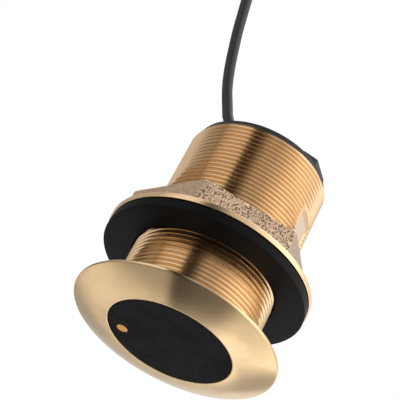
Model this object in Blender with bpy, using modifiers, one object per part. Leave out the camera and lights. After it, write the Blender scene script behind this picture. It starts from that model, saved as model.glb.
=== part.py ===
"""Through-hull sonar transducer: a bronze housing with a round acoustic window, its hull nut and washer,
the tilted ceramic element and its wiring inside, and the cable that ends in a round screwed plug.

Metres, +Z up. The housing's axis is +Z, and the acoustic window's face lies on z = 0.
"""

import math

import bmesh
import bpy
from mathutils import Matrix, Vector

# Clearance between pieces that touch, a small broken edge, how far a cutter reaches past what it cuts,
# and the number of sides of a turned surface
GAP = 0.0003
EDGE = 0.0004
CUT_OVER = 0.0020
SIDES = 72
SMALL_SIDES = 24

# Housing: the flange and the bores are set from the stem's radius
STEM_RADIUS = 0.0297
STEM_WALL = 0.0057
STEM_TOP = 0.0880
STEM_CHAMFER = 0.0013
RELIEF_DEPTH = 0.0013
RELIEF_HEIGHT = 0.0030
FLANGE_REACH = 0.0128
FACE_RISE = 0.0045
RIM_EDGE = 0.0010
FACE_BULGE = 0.0008
LIP_WIDTH = 0.0006
WINDOW_WALL = 0.00375
WINDOW_BORE_TOP = 0.0340

# Cast channel in the thread, at this angle from +X
CHANNEL_ANGLE = math.radians(-23.5)
CHANNEL_WIDTH = 0.0160
CHANNEL_DEPTH = 0.0025
CHANNEL_BOTTOM = 0.0370
CHANNEL_TOP = 0.0745
CHANNEL_SCOOP = 0.0080

# Acoustic window, temperature probe and the direction they share
CORE_ANGLE = math.radians(157.7)
TILT = math.radians(12.0)
WINDOW_MIDDLE = 0.0080
PROBE_INSET = 0.00595
PROBE_RADIUS = 0.0023
PROBE_LENGTH = 0.0200
PROBE_WALL = 0.0007
THERMISTOR_LENGTH = 0.0040

# Ceramic element and its cup
ELEMENT_OFFSET = 0.0025
CUP_INSET = 0.00695
CUP_WALL = 0.0020
CUP_BACK = 0.0025
DISC_THICKNESS = 0.0097
PAD_THICKNESS = 0.0029
LEAD_RADIUS = 0.00045
FINE_LEAD_RADIUS = 0.00036
LEAD_SPREAD = 0.0050
LEAD_HOLE = 0.0010
LEAD_RISE = 0.0006
LEAD_PASS = 0.0040
LEAD_BEND = 0.0040
LEAD_END = 0.0050
CORD_LEAD_PITCH = 0.0013
BOARD_LEAD_PITCH = 0.0030
BOARD_LEAD_END = 0.0010

# Resin fill, circuit board and what the board carries
RESIN_BOTTOM = 0.0280
RESIN_FLOOR = 0.0040
RESIN_TOP = 0.0760
RESIN_WALL = 0.0067
RESIN_HOLE = 0.0020
BOARD_PLACE = 0.0010
BOARD_THICKNESS = 0.0016
BOARD_HEIGHT = 0.0360
TRANSFORMER_RISE = 0.0197
TRANSFORMER_LENGTH = 0.0090
TRANSFORMER_RADIUS = 0.0070
TRANSFORMER_FLANGE = 0.0012
TRANSFORMER_POST = 0.0030
CHIP_LENGTH = 0.0080
CHIP_WIDTH = 0.0060
CHIP_THICKNESS = 0.0015
CHIP_DROP = 0.0133

# Top cap, its seal and the cable gland. The tab's corners are (distance in from the cap's edge, angle).
CAP_SETBACK = 0.0016
CAP_THICKNESS = 0.0021
CAP_PLATE = 0.0032
CAP_SKIRT = 0.0078
CAP_SKIRT_WALL = 0.0037
SEAL_GROOVE_DEPTH = 0.0020
SEAL_GROOVE_TOP = 0.0019
TAB_HEIGHT = 0.0021
TAB_PLAN = ((0.0026, -60.1), (-0.0001, -47.3), (0.0009, -21.1), (0.0072, -20.2), (0.0086, -59.7))
EXIT_ANGLE = math.radians(152.5)
EXIT_INSET = 0.0099
GLAND_NECK = 0.00335
GLAND_COLLAR = 0.0050
GLAND_TIP = 0.0033
GLAND_HEIGHT = 0.0056
GLAND_BEAD = 0.0048
GLAND_BEAD_THICKNESS = 0.0026

# Washer and hull nut, whose widths are measured from the stem's thread
WASHER_REACH = 0.0131
WASHER_HEIGHT = 0.0314
WASHER_THICKNESS = 0.0045
NUT_BAND_REACH = 0.0135
NUT_BAND_HEIGHT = 0.0023
NUT_CORNER_REACH = 0.0104
NUT_CORNER_ANGLE = math.radians(-113.3)
NUT_HEX_HEIGHT = 0.0119
NUT_EDGE = 0.0006

# Cable: its free stretches by hand, the rest wound in one coil
CABLE_RADIUS = 0.00235
COIL_TURNS = 28
COIL_FILL_PERCENT = 70
COIL_RADIUS = 0.0325
COIL_CENTRE = Vector((-0.1475, 0.0095, 0.0))
TIE_THICKNESS = 0.0013
TIE_WIDTH = 0.0060
TIE_ANGLES = (math.radians(225), math.radians(325), math.radians(90))
POINT_SPACING = 0.0100
STRAIGHT_END = 0.0020
CABLE_ROUTE = (
    (-0.0134, 0.0070, 0.1020),
    (-0.0166, 0.0084, 0.1064),
    (-0.0212, 0.0093, 0.1110),
    (-0.0245, 0.0086, 0.1172),
    (-0.0276, 0.0069, 0.1229),
    (-0.0300, 0.0045, 0.1285),
    (-0.0320, 0.0016, 0.1341),
    (-0.0337, -0.0018, 0.1394),
    (-0.0353, -0.0054, 0.1446),
    (-0.0369, -0.0094, 0.1514),
    (-0.0380, -0.0118, 0.1562),
    (-0.0397, -0.0139, 0.1670),
    (-0.0446, -0.0161, 0.1774),
    (-0.0536, -0.0186, 0.1845),
    (-0.0650, -0.0214, 0.1868),
    (-0.0770, -0.0244, 0.1834),
    (-0.0876, -0.0275, 0.1752),
    (-0.0968, -0.0304, 0.1630),
    (-0.1043, -0.0330, 0.1482),
    (-0.1107, -0.0353, 0.1322),
    (-0.1158, -0.0371, 0.1157),
    (-0.1197, -0.0384, 0.0986),
    (-0.1226, -0.0393, 0.0811),
    (-0.1247, -0.0399, 0.0655),
    (-0.1262, -0.0403, 0.0500),
    (-0.1270, -0.0405, 0.0350),
    (-0.1295, -0.0405, 0.0258),
    (-0.1363, -0.0405, 0.0190),
)
TAIL_ROUTE = ((0.0012, 0.0100, 0.0009), (0.0047, 0.0191, 0.0029), (0.0102, 0.0263, 0.0054), (0.0171, 0.0309, 0.0075))
PLUG_PLACE = Vector((-0.0055, 0.0, -0.0003))

# Plug, measured along its own axis from the cable's end
BOOT_LENGTH = 0.0220
BOOT_TIP = 0.0034
BODY_RADIUS = 0.0083
BODY_LENGTH = 0.0260
BODY_BORE = 0.0062
SHOULDER_RADIUS = 0.0094
SHOULDER_PLACE = 0.0052
SHOULDER_WIDTH = 0.0022
NOSE_RADIUS = 0.0076
INSERT_LENGTH = 0.0160
PIN_RADIUS = 0.00075
PIN_LENGTH = 0.0070
PIN_CIRCLE = 0.0034
PIN_COUNT = 5
PLUG_SEAL_RADIUS = 0.0009
PLUG_SEAL_PLACE = 0.0130
COLLAR_RADIUS = 0.0113
COLLAR_LIP = 0.0022
COLLAR_LENGTH = 0.0240
COLLAR_GRIPS = 14
GRIP_RADIUS = 0.0012

# Places worked out from the sizes above
FLANGE_RADIUS = STEM_RADIUS + FLANGE_REACH
STEM_BORE = STEM_RADIUS - STEM_WALL
WINDOW_BORE = STEM_RADIUS - WINDOW_WALL
CHANNEL_FLOOR = STEM_RADIUS - CHANNEL_DEPTH
FACE_TOP = FACE_RISE + RIM_EDGE
RELIEF_RADIUS = STEM_RADIUS - RELIEF_DEPTH
BORE_STEP = WINDOW_BORE - STEM_BORE
PROBE_OFFSET = WINDOW_BORE - PROBE_INSET
CUP_RADIUS = WINDOW_BORE - CUP_INSET
POCKET_RADIUS = STEM_BORE - GAP - RESIN_WALL
POCKET_FLOOR = RESIN_BOTTOM + RESIN_FLOOR
THERMISTOR_HOLE = POCKET_RADIUS - RESIN_HOLE - GAP
LEAD_HOLE_PLACE = BOARD_PLACE - RESIN_HOLE - GAP
BOARD_BOTTOM = POCKET_FLOOR + GAP
BOARD_TOP = BOARD_BOTTOM + BOARD_HEIGHT
BOARD_FAR = BOARD_PLACE + BOARD_THICKNESS
CAP_RADIUS = STEM_RADIUS - CAP_SETBACK
CAP_BOTTOM = STEM_TOP + GAP
CAP_TOP = CAP_BOTTOM + CAP_THICKNESS
CABLE_EXIT = Vector((math.cos(EXIT_ANGLE), math.sin(EXIT_ANGLE), 0.0)) * (STEM_BORE - EXIT_INSET)
WASHER_RADIUS = STEM_RADIUS + WASHER_REACH
NUT_BAND_RADIUS = STEM_RADIUS + NUT_BAND_REACH
NUT_CORNER_RADIUS = STEM_RADIUS + NUT_CORNER_REACH
NUT_BOTTOM = WASHER_HEIGHT + WASHER_THICKNESS
COIL_SECTION = CABLE_RADIUS * math.sqrt(100 * COIL_TURNS / COIL_FILL_PERCENT)
COIL_HEIGHT = COIL_SECTION + GAP + TIE_THICKNESS
COIL_SIDE = COIL_RADIUS + COIL_SECTION + CABLE_RADIUS + GAP
COIL_TOP = COIL_HEIGHT + COIL_SECTION
PLUG_START = COIL_CENTRE + PLUG_PLACE + Vector((0.0, COIL_RADIUS, COIL_TOP + COLLAR_RADIUS))
SHOULDER_BOTTOM = BOOT_LENGTH + GAP + SHOULDER_PLACE


def clear_scene():
    for item in list(bpy.data.objects):
        bpy.data.objects.remove(item, do_unlink=True)


def collection(name, hidden=False):
    made = bpy.data.collections.new(name)
    made.hide_render = hidden
    bpy.context.scene.collection.children.link(made)
    return made


def material(name, colour, roughness, metallic=0.0):
    made = bpy.data.materials.new(name)
    made.use_nodes = True
    shader = made.node_tree.nodes["Principled BSDF"]
    shader.inputs["Base Color"].default_value = (*colour, 1.0)
    shader.inputs["Roughness"].default_value = roughness
    shader.inputs["Metallic"].default_value = metallic
    return made


def place(mesh, name, look=None, parent=None):
    """Puts a mesh in the scene: a part with its material, or a cutter where look is None."""
    made = bpy.data.objects.new(name, mesh)
    if look is None:
        cutters.objects.link(made)
        made.hide_render = True
        made.display_type = "WIRE"
    else:
        parts.objects.link(made)
        mesh.materials.append(look)
    made.parent = parent
    return made


def axis(name, location, rotation=(0.0, 0.0, 0.0), parent=None):
    """An empty that carries the pieces on one axis."""
    made = bpy.data.objects.new(name, None)
    made.location = location
    made.rotation_euler = rotation
    made.parent = parent
    parts.objects.link(made)
    return made


def turned(name, profile, look=None, parent=None, sides=SIDES):
    """A solid of revolution about +Z. The profile holds (radius, height) pairs and runs down the outer side.
    A profile that ends on the axis makes a full solid, and any other is closed into a ring."""
    mesh = bpy.data.meshes.new(name)
    shape = bmesh.new()
    points = [shape.verts.new((radius, 0.0, height)) for radius, height in profile]
    for first, second in zip(points, points[1:]):
        shape.edges.new((first, second))
    if profile[0][0] > 0.0:
        shape.edges.new((points[-1], points[0]))
    shape.to_mesh(mesh)
    shape.free()
    made = place(mesh, name, look, parent)
    screw = made.modifiers.new("Turn", "SCREW")
    screw.axis = "Z"
    screw.angle = math.tau
    screw.steps = sides
    screw.render_steps = sides
    screw.use_merge_vertices = True
    screw.merge_threshold = 0.00001
    return made


def rod(radius, bottom, top):
    """The profile of a plain cylinder."""
    return ((0.0, top), (radius, top), (radius, bottom), (0.0, bottom))


def ring(inner, outer, bottom, top):
    """The profile of a plain ring."""
    return ((inner, top), (outer, top), (outer, bottom), (inner, bottom))


def round_section(centre, height, radius, points):
    """The profile of a round ring, with a flat at the top and the bottom."""
    angles = [math.tau * (0.5 - index) / points + math.pi / 2 for index in range(points)]
    return [(centre + radius * math.cos(angle), height + radius * math.sin(angle)) for angle in angles]


def box(name, size, centre, look=None, parent=None):
    mesh = bpy.data.meshes.new(name)
    shape = bmesh.new()
    bmesh.ops.create_cube(shape, size=1.0)
    bmesh.ops.scale(shape, vec=size, verts=shape.verts)
    bmesh.ops.translate(shape, vec=centre, verts=shape.verts)
    shape.to_mesh(mesh)
    shape.free()
    return place(mesh, name, look, parent)


def as_mesh(curve_object, look=None):
    """Replaces a curve object by its closed mesh."""
    bpy.context.view_layer.update()
    evaluated = curve_object.evaluated_get(bpy.context.evaluated_depsgraph_get())
    mesh = bpy.data.meshes.new_from_object(evaluated)
    shape = bmesh.new()
    shape.from_mesh(mesh)
    bmesh.ops.remove_doubles(shape, verts=shape.verts, dist=0.000001)
    bmesh.ops.recalc_face_normals(shape, faces=shape.faces)
    shape.to_mesh(mesh)
    shape.free()
    name = curve_object.name
    where = curve_object.matrix_world.copy()
    bpy.data.objects.remove(curve_object, do_unlink=True)
    mesh.materials.clear()
    made = place(mesh, name, look)
    made.matrix_world = where
    return made


def extruded(name, outline, thickness, look=None):
    """A flat outline, extruded half the thickness to each side of its plane."""
    curve = bpy.data.curves.new(name, "CURVE")
    curve.dimensions = "2D"
    curve.fill_mode = "BOTH"
    curve.extrude = thickness / 2
    spline = curve.splines.new("POLY")
    spline.points.add(len(outline) - 1)
    for point, (across, up) in zip(spline.points, outline):
        point.co = (across, up, 0.0, 1.0)
    spline.use_cyclic_u = True
    made = bpy.data.objects.new(name, curve)
    parts.objects.link(made)
    return as_mesh(made, look)


def wire(name, route, radius, look, parent=None, resolution=1):
    """A curve object with a round section and filled caps."""
    curve = bpy.data.curves.new(name, "CURVE")
    curve.dimensions = "3D"
    curve.bevel_depth = radius
    curve.bevel_resolution = resolution
    curve.use_fill_caps = True
    spline = curve.splines.new("POLY")
    spline.points.add(len(route) - 1)
    for point, where in zip(spline.points, route):
        point.co = (*where, 1.0)
    made = bpy.data.objects.new(name, curve)
    curve.materials.append(look)
    made.parent = parent
    parts.objects.link(made)
    return made


def combine(target, other, operation):
    """Joins or cuts two meshes, exactly."""
    change = target.modifiers.new(other.name, "BOOLEAN")
    change.operation = operation
    change.solver = "EXACT"
    change.object = other


def smooth_through(points, spacing):
    """Points about this far apart on the Catmull-Rom curve through the given ones."""
    points = [Vector(point) for point in points]
    points = [2 * points[0] - points[1], *points, 2 * points[-1] - points[-2]]
    dense = []
    for a, b, c, d in zip(points, points[1:], points[2:], points[3:]):
        for step in range(24):
            t = step / 24
            dense.append(0.5 * (2 * b + (c - a) * t + (2 * a - 5 * b + 4 * c - d) * t * t
                                + (3 * b - a - 3 * c + d) * t ** 3))
    dense.append(points[-2])
    lengths = [0.0]
    for first, second in zip(dense, dense[1:]):
        lengths.append(lengths[-1] + (second - first).length)
    count = max(2, round(lengths[-1] / spacing))
    chosen = []
    for index in range(count + 1):
        wanted = lengths[-1] * index / count
        after = next((k for k, length in enumerate(lengths) if length >= wanted), len(lengths) - 1)
        before = max(after - 1, 0)
        span = lengths[after] - lengths[before]
        share = (wanted - lengths[before]) / span if span else 0.0
        chosen.append(dense[before].lerp(dense[after], share))
    return chosen


def face_arc(steps):
    """The convex face from the rim in to the lip round the window."""
    lip = WINDOW_BORE + LIP_WIDTH
    run = FLANGE_RADIUS - lip
    points = []
    for index in range(steps + 1):
        share = 1.0 - index / steps
        points.append((lip + run * share, FACE_RISE * share - 4 * FACE_BULGE * share * (1.0 - share)))
    return points


def window_height(across):
    """Height of the window's sloping back at this place across the core's axis."""
    return WINDOW_MIDDLE + math.tan(TILT) * across


def make_housing():
    profile = [
        (STEM_BORE, STEM_TOP),
        (STEM_RADIUS - STEM_CHAMFER, STEM_TOP),
        (STEM_RADIUS, STEM_TOP - STEM_CHAMFER),
        (STEM_RADIUS, FACE_TOP + RELIEF_HEIGHT + RELIEF_DEPTH),
        (RELIEF_RADIUS, FACE_TOP + RELIEF_HEIGHT),
        (RELIEF_RADIUS, FACE_TOP),
        (FLANGE_RADIUS, FACE_TOP),
        *face_arc(6),
        (WINDOW_BORE, 0.0),
        (WINDOW_BORE, WINDOW_BORE_TOP),
        (STEM_BORE, WINDOW_BORE_TOP + BORE_STEP),
    ]
    housing = turned("housing", profile, bronze)
    outer = STEM_RADIUS + CUT_OVER
    scoop = []
    for index in range(7):
        angle = math.pi / 2 * index / 6
        scoop.append((CHANNEL_FLOOR + CHANNEL_SCOOP * (1.0 - math.cos(angle)),
                      CHANNEL_TOP - CHANNEL_SCOOP * (1.0 - math.sin(angle))))
    outline = [(outer, CHANNEL_BOTTOM), (CHANNEL_FLOOR, CHANNEL_BOTTOM), *scoop]
    cutter = extruded("channel_cutter", outline, CHANNEL_WIDTH)
    cutter.matrix_world = Matrix.Rotation(CHANNEL_ANGLE, 4, "Z") @ Matrix.Rotation(math.pi / 2, 4, "X")
    combine(housing, cutter, "DIFFERENCE")


def make_window():
    top = window_height(WINDOW_BORE) + CUT_OVER
    window = turned("acoustic_window", rod(WINDOW_BORE - GAP, 0.0, top), urethane)
    depth = 2 * top
    slope = box("window_slope_cutter", (4 * WINDOW_BORE, 4 * WINDOW_BORE, depth), (0.0, 0.0, depth / 2),
                parent=element_axis)
    combine(window, slope, "DIFFERENCE")
    bore = turned("probe_hole_cutter", rod(PROBE_RADIUS + GAP, -CUT_OVER, 2 * top), parent=probe_axis,
                  sides=SMALL_SIDES)
    combine(window, bore, "DIFFERENCE")


def make_probe():
    inner = PROBE_RADIUS - PROBE_WALL
    thimble = ((inner, PROBE_LENGTH), (PROBE_RADIUS, PROBE_LENGTH), (PROBE_RADIUS, 0.0), (0.0, 0.0))
    profile = ((0.0, PROBE_WALL), (inner, PROBE_WALL), *thimble)
    turned("temperature_probe", profile, brass, probe_axis, SMALL_SIDES)
    bead = PROBE_WALL + GAP
    turned("thermistor", rod(inner - GAP, bead, bead + THERMISTOR_LENGTH), epoxy, probe_axis, SMALL_SIDES)
    start = bead + THERMISTOR_LENGTH + GAP
    spread = inner / 2
    end = BOARD_FAR + GAP + LEAD_RADIUS
    for name, side in (("thermistor_lead_1", -spread), ("thermistor_lead_2", spread)):
        route = ((PROBE_OFFSET, side, start), (PROBE_OFFSET, side, PROBE_LENGTH + LEAD_BEND / 2),
                 (THERMISTOR_HOLE, side, RESIN_BOTTOM), (THERMISTOR_HOLE, side, POCKET_FLOOR),
                 (end + LEAD_BEND, 4 * side, POCKET_FLOOR + LEAD_BEND),
                 (end, 4 * side, POCKET_FLOOR + LEAD_BEND + LEAD_END))
        wire(name, route, FINE_LEAD_RADIUS, lead_red, core_axis)


def make_element():
    disc_bottom = GAP
    disc_top = disc_bottom + DISC_THICKNESS
    pad_bottom = disc_top + GAP
    pad_top = pad_bottom + PAD_THICKNESS
    back = pad_top + GAP
    inner = CUP_RADIUS - CUP_WALL
    profile = ((0.0, back + CUP_BACK), (CUP_RADIUS, back + CUP_BACK), (CUP_RADIUS, GAP), (inner, GAP),
               (inner, back), (0.0, back))
    cup = turned("isolation_cup", profile, cork, element_axis)
    turned("piezo_disc", rod(inner - GAP, disc_bottom, disc_top), ceramic, element_axis)
    pad = turned("backing_pad", rod(inner - GAP, pad_bottom, pad_top), felt, element_axis)
    for side in (-1, 1):
        place_on_disc = axis("lead_place", (side * LEAD_SPREAD, 0.0, 0.0), parent=element_axis)
        hole = turned("lead_hole_cutter", rod(LEAD_HOLE, pad_bottom - CUT_OVER, back + 2 * CUP_BACK),
                      parent=place_on_disc, sides=12)
        combine(cup, hole, "DIFFERENCE")
        combine(pad, hole, "DIFFERENCE")
    bpy.context.view_layer.update()
    to_core = core_axis.matrix_world.inverted() @ element_axis.matrix_world
    end = BOARD_PLACE - GAP - LEAD_RADIUS
    rises = back + CUP_BACK + LEAD_RISE
    bend = POCKET_FLOOR + LEAD_BEND
    for name, side, look, across in (("element_lead_positive", 1, lead_red, LEAD_PASS),
                                     ("element_lead_negative", -1, lead_black, -LEAD_PASS)):
        start = to_core @ Vector((side * LEAD_SPREAD, 0.0, pad_bottom))
        above = to_core @ Vector((side * LEAD_SPREAD, 0.0, rises))
        hole = (LEAD_HOLE_PLACE, across)
        route = (start, above, (*hole, RESIN_BOTTOM), (*hole, POCKET_FLOOR), (end, across, bend),
                 (end, across, bend + LEAD_END))
        wire(name, route, LEAD_RADIUS, look, core_axis)


def make_resin():
    outer = STEM_BORE - GAP
    wide = WINDOW_BORE - GAP
    step = WINDOW_BORE_TOP
    profile = ((0.0, POCKET_FLOOR), (POCKET_RADIUS, POCKET_FLOOR), (POCKET_RADIUS, RESIN_TOP), (outer, RESIN_TOP),
               (outer, step + BORE_STEP), (wide, step), (wide, RESIN_BOTTOM), (0.0, RESIN_BOTTOM))
    resin = turned("resin_fill", profile, potting)
    for place_in_floor in ((THERMISTOR_HOLE, 0.0), (LEAD_HOLE_PLACE, LEAD_PASS), (LEAD_HOLE_PLACE, -LEAD_PASS)):
        where = axis("resin_hole_place", (*place_in_floor, 0.0), parent=core_axis)
        hole = turned("resin_hole_cutter", rod(RESIN_HOLE, RESIN_BOTTOM - CUT_OVER, POCKET_FLOOR + CUT_OVER),
                      parent=where, sides=12)
        combine(resin, hole, "DIFFERENCE")


def make_board():
    reach = POCKET_RADIUS - GAP
    width = 2 * math.sqrt(reach ** 2 - BOARD_FAR ** 2)
    middle = BOARD_PLACE + BOARD_THICKNESS / 2
    box("circuit_board", (BOARD_THICKNESS, width, BOARD_HEIGHT),
        (middle, 0.0, BOARD_BOTTOM + BOARD_HEIGHT / 2), board_green, core_axis)
    box("id_chip", (CHIP_THICKNESS, CHIP_WIDTH, CHIP_LENGTH),
        (BOARD_FAR + GAP + CHIP_THICKNESS / 2, 0.0, BOARD_TOP - CHIP_DROP), chip_black, core_axis)
    seat = axis("transformer_axis", (BOARD_PLACE - GAP, 0.0, BOARD_BOTTOM + TRANSFORMER_RISE),
                (0.0, -math.pi / 2, 0.0), core_axis)
    length = TRANSFORMER_LENGTH
    flange = TRANSFORMER_FLANGE
    wide = TRANSFORMER_RADIUS
    post = TRANSFORMER_POST
    profile = ((0.0, length), (wide, length), (wide, length - flange), (post, length - flange), (post, flange),
               (wide, flange), (wide, 0.0), (0.0, 0.0))
    turned("transformer_core", profile, ferrite, seat, 32)
    turned("transformer_winding", ring(post + GAP, wide - 2 * GAP, flange + GAP, length - flange - GAP), copper,
           seat, 32)


def make_cap():
    skirt = STEM_BORE - GAP
    inner = skirt - CAP_SKIRT_WALL
    under = CAP_TOP - CAP_PLATE
    groove_top = CAP_BOTTOM - SEAL_GROOVE_TOP
    groove = skirt - SEAL_GROOVE_DEPTH
    seal = (SEAL_GROOVE_DEPTH - GAP) / 2
    groove_bottom = groove_top - 2 * seal - 2 * GAP
    bottom = CAP_BOTTOM - CAP_SKIRT
    profile = ((0.0, CAP_TOP), (CAP_RADIUS - EDGE, CAP_TOP), (CAP_RADIUS, CAP_TOP - EDGE), (CAP_RADIUS, CAP_BOTTOM),
               (skirt, CAP_BOTTOM), (skirt, groove_top), (groove, groove_top), (groove, groove_bottom),
               (skirt, groove_bottom), (skirt, bottom), (inner, bottom), (inner, under), (0.0, under))
    cap = turned("top_cap", profile, cap_black)
    corners = []
    for inset, degrees in TAB_PLAN:
        angle = math.radians(degrees)
        corners.append(((CAP_RADIUS - inset) * math.cos(angle), (CAP_RADIUS - inset) * math.sin(angle)))
    tab_thickness = CAP_THICKNESS / 2 + TAB_HEIGHT
    tab = extruded("tab_cutter", corners, tab_thickness)
    tab.location = (0.0, 0.0, CAP_TOP + TAB_HEIGHT - tab_thickness / 2)
    combine(cap, tab, "UNION")
    hole = turned("cable_hole_cutter", rod(GLAND_NECK + GAP, bottom, CAP_TOP + CUT_OVER), parent=gland_axis,
                  sides=SMALL_SIDES)
    combine(cap, hole, "DIFFERENCE")
    section = round_section(groove + GAP + seal, groove_top - GAP - seal, seal, 10)
    turned("cap_seal", section, rubber)


def make_gland():
    under = CAP_TOP - CAP_PLATE - GAP
    tip = CAP_TOP + GLAND_HEIGHT
    profile = ((0.0, tip), (GLAND_TIP, tip), (GLAND_COLLAR, CAP_TOP + GAP), (GLAND_NECK, CAP_TOP + GAP),
               (GLAND_NECK, under), (GLAND_BEAD, under), (GLAND_BEAD, under - GLAND_BEAD_THICKNESS),
               (0.0, under - GLAND_BEAD_THICKNESS))
    turned("cable_gland", profile, rubber, gland_axis, SMALL_SIDES)
    start = under - GLAND_BEAD_THICKNESS - GAP
    bpy.context.view_layer.update()
    exit_place = core_axis.matrix_world.inverted() @ gland_axis.matrix_world.translation
    end = BOARD_FAR + GAP + LEAD_RADIUS
    low = BOARD_TOP - BOARD_LEAD_END
    for index in range(4):
        side = index - 1.5
        x = exit_place.x
        y = exit_place.y + CORD_LEAD_PITCH * side
        board_side = BOARD_LEAD_PITCH * side
        route = ((x, y, start), (x, y, start - LEAD_BEND),
                 ((x + end) / 2, (y + board_side) / 2, (start + BOARD_TOP) / 2),
                 (end, board_side, low), (end, board_side, low - LEAD_END))
        wire(f"cable_conductor_{index + 1}", route, LEAD_RADIUS, lead_black, core_axis)


def make_washer():
    inner = STEM_RADIUS + 2 * GAP
    top = WASHER_HEIGHT + WASHER_THICKNESS - GAP
    profile = ((inner, top), (WASHER_RADIUS - EDGE, top), (WASHER_RADIUS, top - EDGE),
               (WASHER_RADIUS, WASHER_HEIGHT + EDGE), (WASHER_RADIUS - EDGE, WASHER_HEIGHT), (inner, WASHER_HEIGHT))
    turned("nut_washer", profile, rubber, nut_axis)


def make_nut():
    corners = []
    for index in range(6):
        angle = NUT_CORNER_ANGLE + math.tau * index / 6
        corners.append((NUT_CORNER_RADIUS * math.cos(angle), NUT_CORNER_RADIUS * math.sin(angle)))
    band_top = NUT_BOTTOM + NUT_BAND_HEIGHT
    hexagon_height = NUT_HEX_HEIGHT + NUT_BAND_HEIGHT / 2
    top = band_top + NUT_HEX_HEIGHT
    nut = extruded("hull_nut", corners, hexagon_height, bronze_cast)
    nut.location = (0.0, 0.0, top - hexagon_height / 2)
    rounding = nut.modifiers.new("Edges", "BEVEL")
    rounding.width = NUT_EDGE
    rounding.segments = 2
    rounding.limit_method = "ANGLE"
    band = turned("nut_band_cutter", ring(STEM_RADIUS - CUT_OVER, NUT_BAND_RADIUS, NUT_BOTTOM, band_top))
    combine(nut, band, "UNION")
    bore = turned("nut_bore_cutter", rod(STEM_RADIUS + GAP, NUT_BOTTOM - CUT_OVER, top + CUT_OVER))
    combine(nut, bore, "DIFFERENCE")


def make_cable():
    tip = CAP_TOP + GLAND_HEIGHT + GAP
    start = Vector((CABLE_EXIT.x, CABLE_EXIT.y, tip))
    side = Vector((0.0, -COIL_SIDE, COIL_HEIGHT)) + COIL_CENTRE
    rise = start + Vector((0.0, 0.0, STRAIGHT_END))
    before = side + Vector((STRAIGHT_END, 0.0, 0.0))
    route = [start, *smooth_through((rise, *CABLE_ROUTE, before), POINT_SPACING), side]
    wire("cable", route, CABLE_RADIUS, cable_black, resolution=3)
    section = round_section(COIL_RADIUS, COIL_HEIGHT, COIL_SECTION, 16)
    turned("cable_coil", section, cable_black, coil_axis)
    leaving = Vector((-COIL_RADIUS, 0.0, COIL_TOP + CABLE_RADIUS + GAP)) + COIL_CENTRE
    middle = [leaving + Vector(point) for point in TAIL_ROUTE]
    last = PLUG_START - Vector((GAP, 0.0, 0.0))
    run_in = last - Vector((STRAIGHT_END, 0.0, 0.0))
    tail = [*smooth_through((leaving, *middle, run_in), POINT_SPACING / 2), last]
    wire("cable_tail", tail, CABLE_RADIUS, cable_black, resolution=3)


def make_ties():
    """Straps round the coil's section, which the coil lies on."""
    inner = COIL_SECTION + GAP
    profile = ring(inner, inner + TIE_THICKNESS, -TIE_WIDTH / 2, TIE_WIDTH / 2)
    for index, angle in enumerate(TIE_ANGLES):
        turn = axis("tie_turn", (0.0, 0.0, COIL_HEIGHT), (0.0, 0.0, angle), coil_axis)
        stand = axis("tie_axis", (COIL_RADIUS, 0.0, 0.0), (math.pi / 2, 0.0, 0.0), turn)
        turned(f"coil_tie_{index + 1}", profile, strap, stand, 32)


def make_plug():
    body_bottom = BOOT_LENGTH + GAP
    body_top = body_bottom + BODY_LENGTH
    shoulder_top = SHOULDER_BOTTOM + SHOULDER_WIDTH
    insert_top = body_bottom + INSERT_LENGTH
    boot = [(0.0, BOOT_LENGTH), (BODY_RADIUS, BOOT_LENGTH), (BODY_RADIUS, 0.7 * BOOT_LENGTH)]
    for index in range(4, 0, -1):
        height = 0.15 * BOOT_LENGTH * index
        radius = BOOT_TIP + (BODY_RADIUS - BOOT_TIP) * 0.2 * index
        boot += [(radius, height), (radius - 0.0006, height - 0.0008)]
    boot += [(BOOT_TIP, 0.0), (0.0, 0.0)]
    turned("plug_boot", boot, rubber, plug_axis, SMALL_SIDES)
    body = ((BODY_BORE, body_top), (NOSE_RADIUS, body_top), (NOSE_RADIUS, shoulder_top),
            (SHOULDER_RADIUS, shoulder_top), (SHOULDER_RADIUS, SHOULDER_BOTTOM), (BODY_RADIUS, SHOULDER_BOTTOM),
            (BODY_RADIUS, body_bottom), (BODY_BORE, body_bottom))
    turned("plug_body", body, nylon, plug_axis, 40)
    turned("plug_insert", rod(BODY_BORE - GAP, body_bottom, insert_top), insert_grey, plug_axis, SMALL_SIDES)
    foot = insert_top + GAP
    tip = foot + PIN_LENGTH
    pin = ((0.0, tip), (PIN_RADIUS / 2, tip), (PIN_RADIUS, tip - PIN_RADIUS), (PIN_RADIUS, foot), (0.0, foot))
    for index in range(PIN_COUNT):
        angle = math.tau * index / PIN_COUNT
        where = axis("pin_axis", (PIN_CIRCLE * math.cos(angle), PIN_CIRCLE * math.sin(angle), 0.0),
                     parent=plug_axis)
        turned(f"plug_pin_{index + 1}", pin, gold, where, 12)
    seal = round_section(NOSE_RADIUS + GAP + PLUG_SEAL_RADIUS, body_bottom + PLUG_SEAL_PLACE, PLUG_SEAL_RADIUS, 10)
    turned("plug_seal", seal, rubber, plug_axis, 40)


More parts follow.
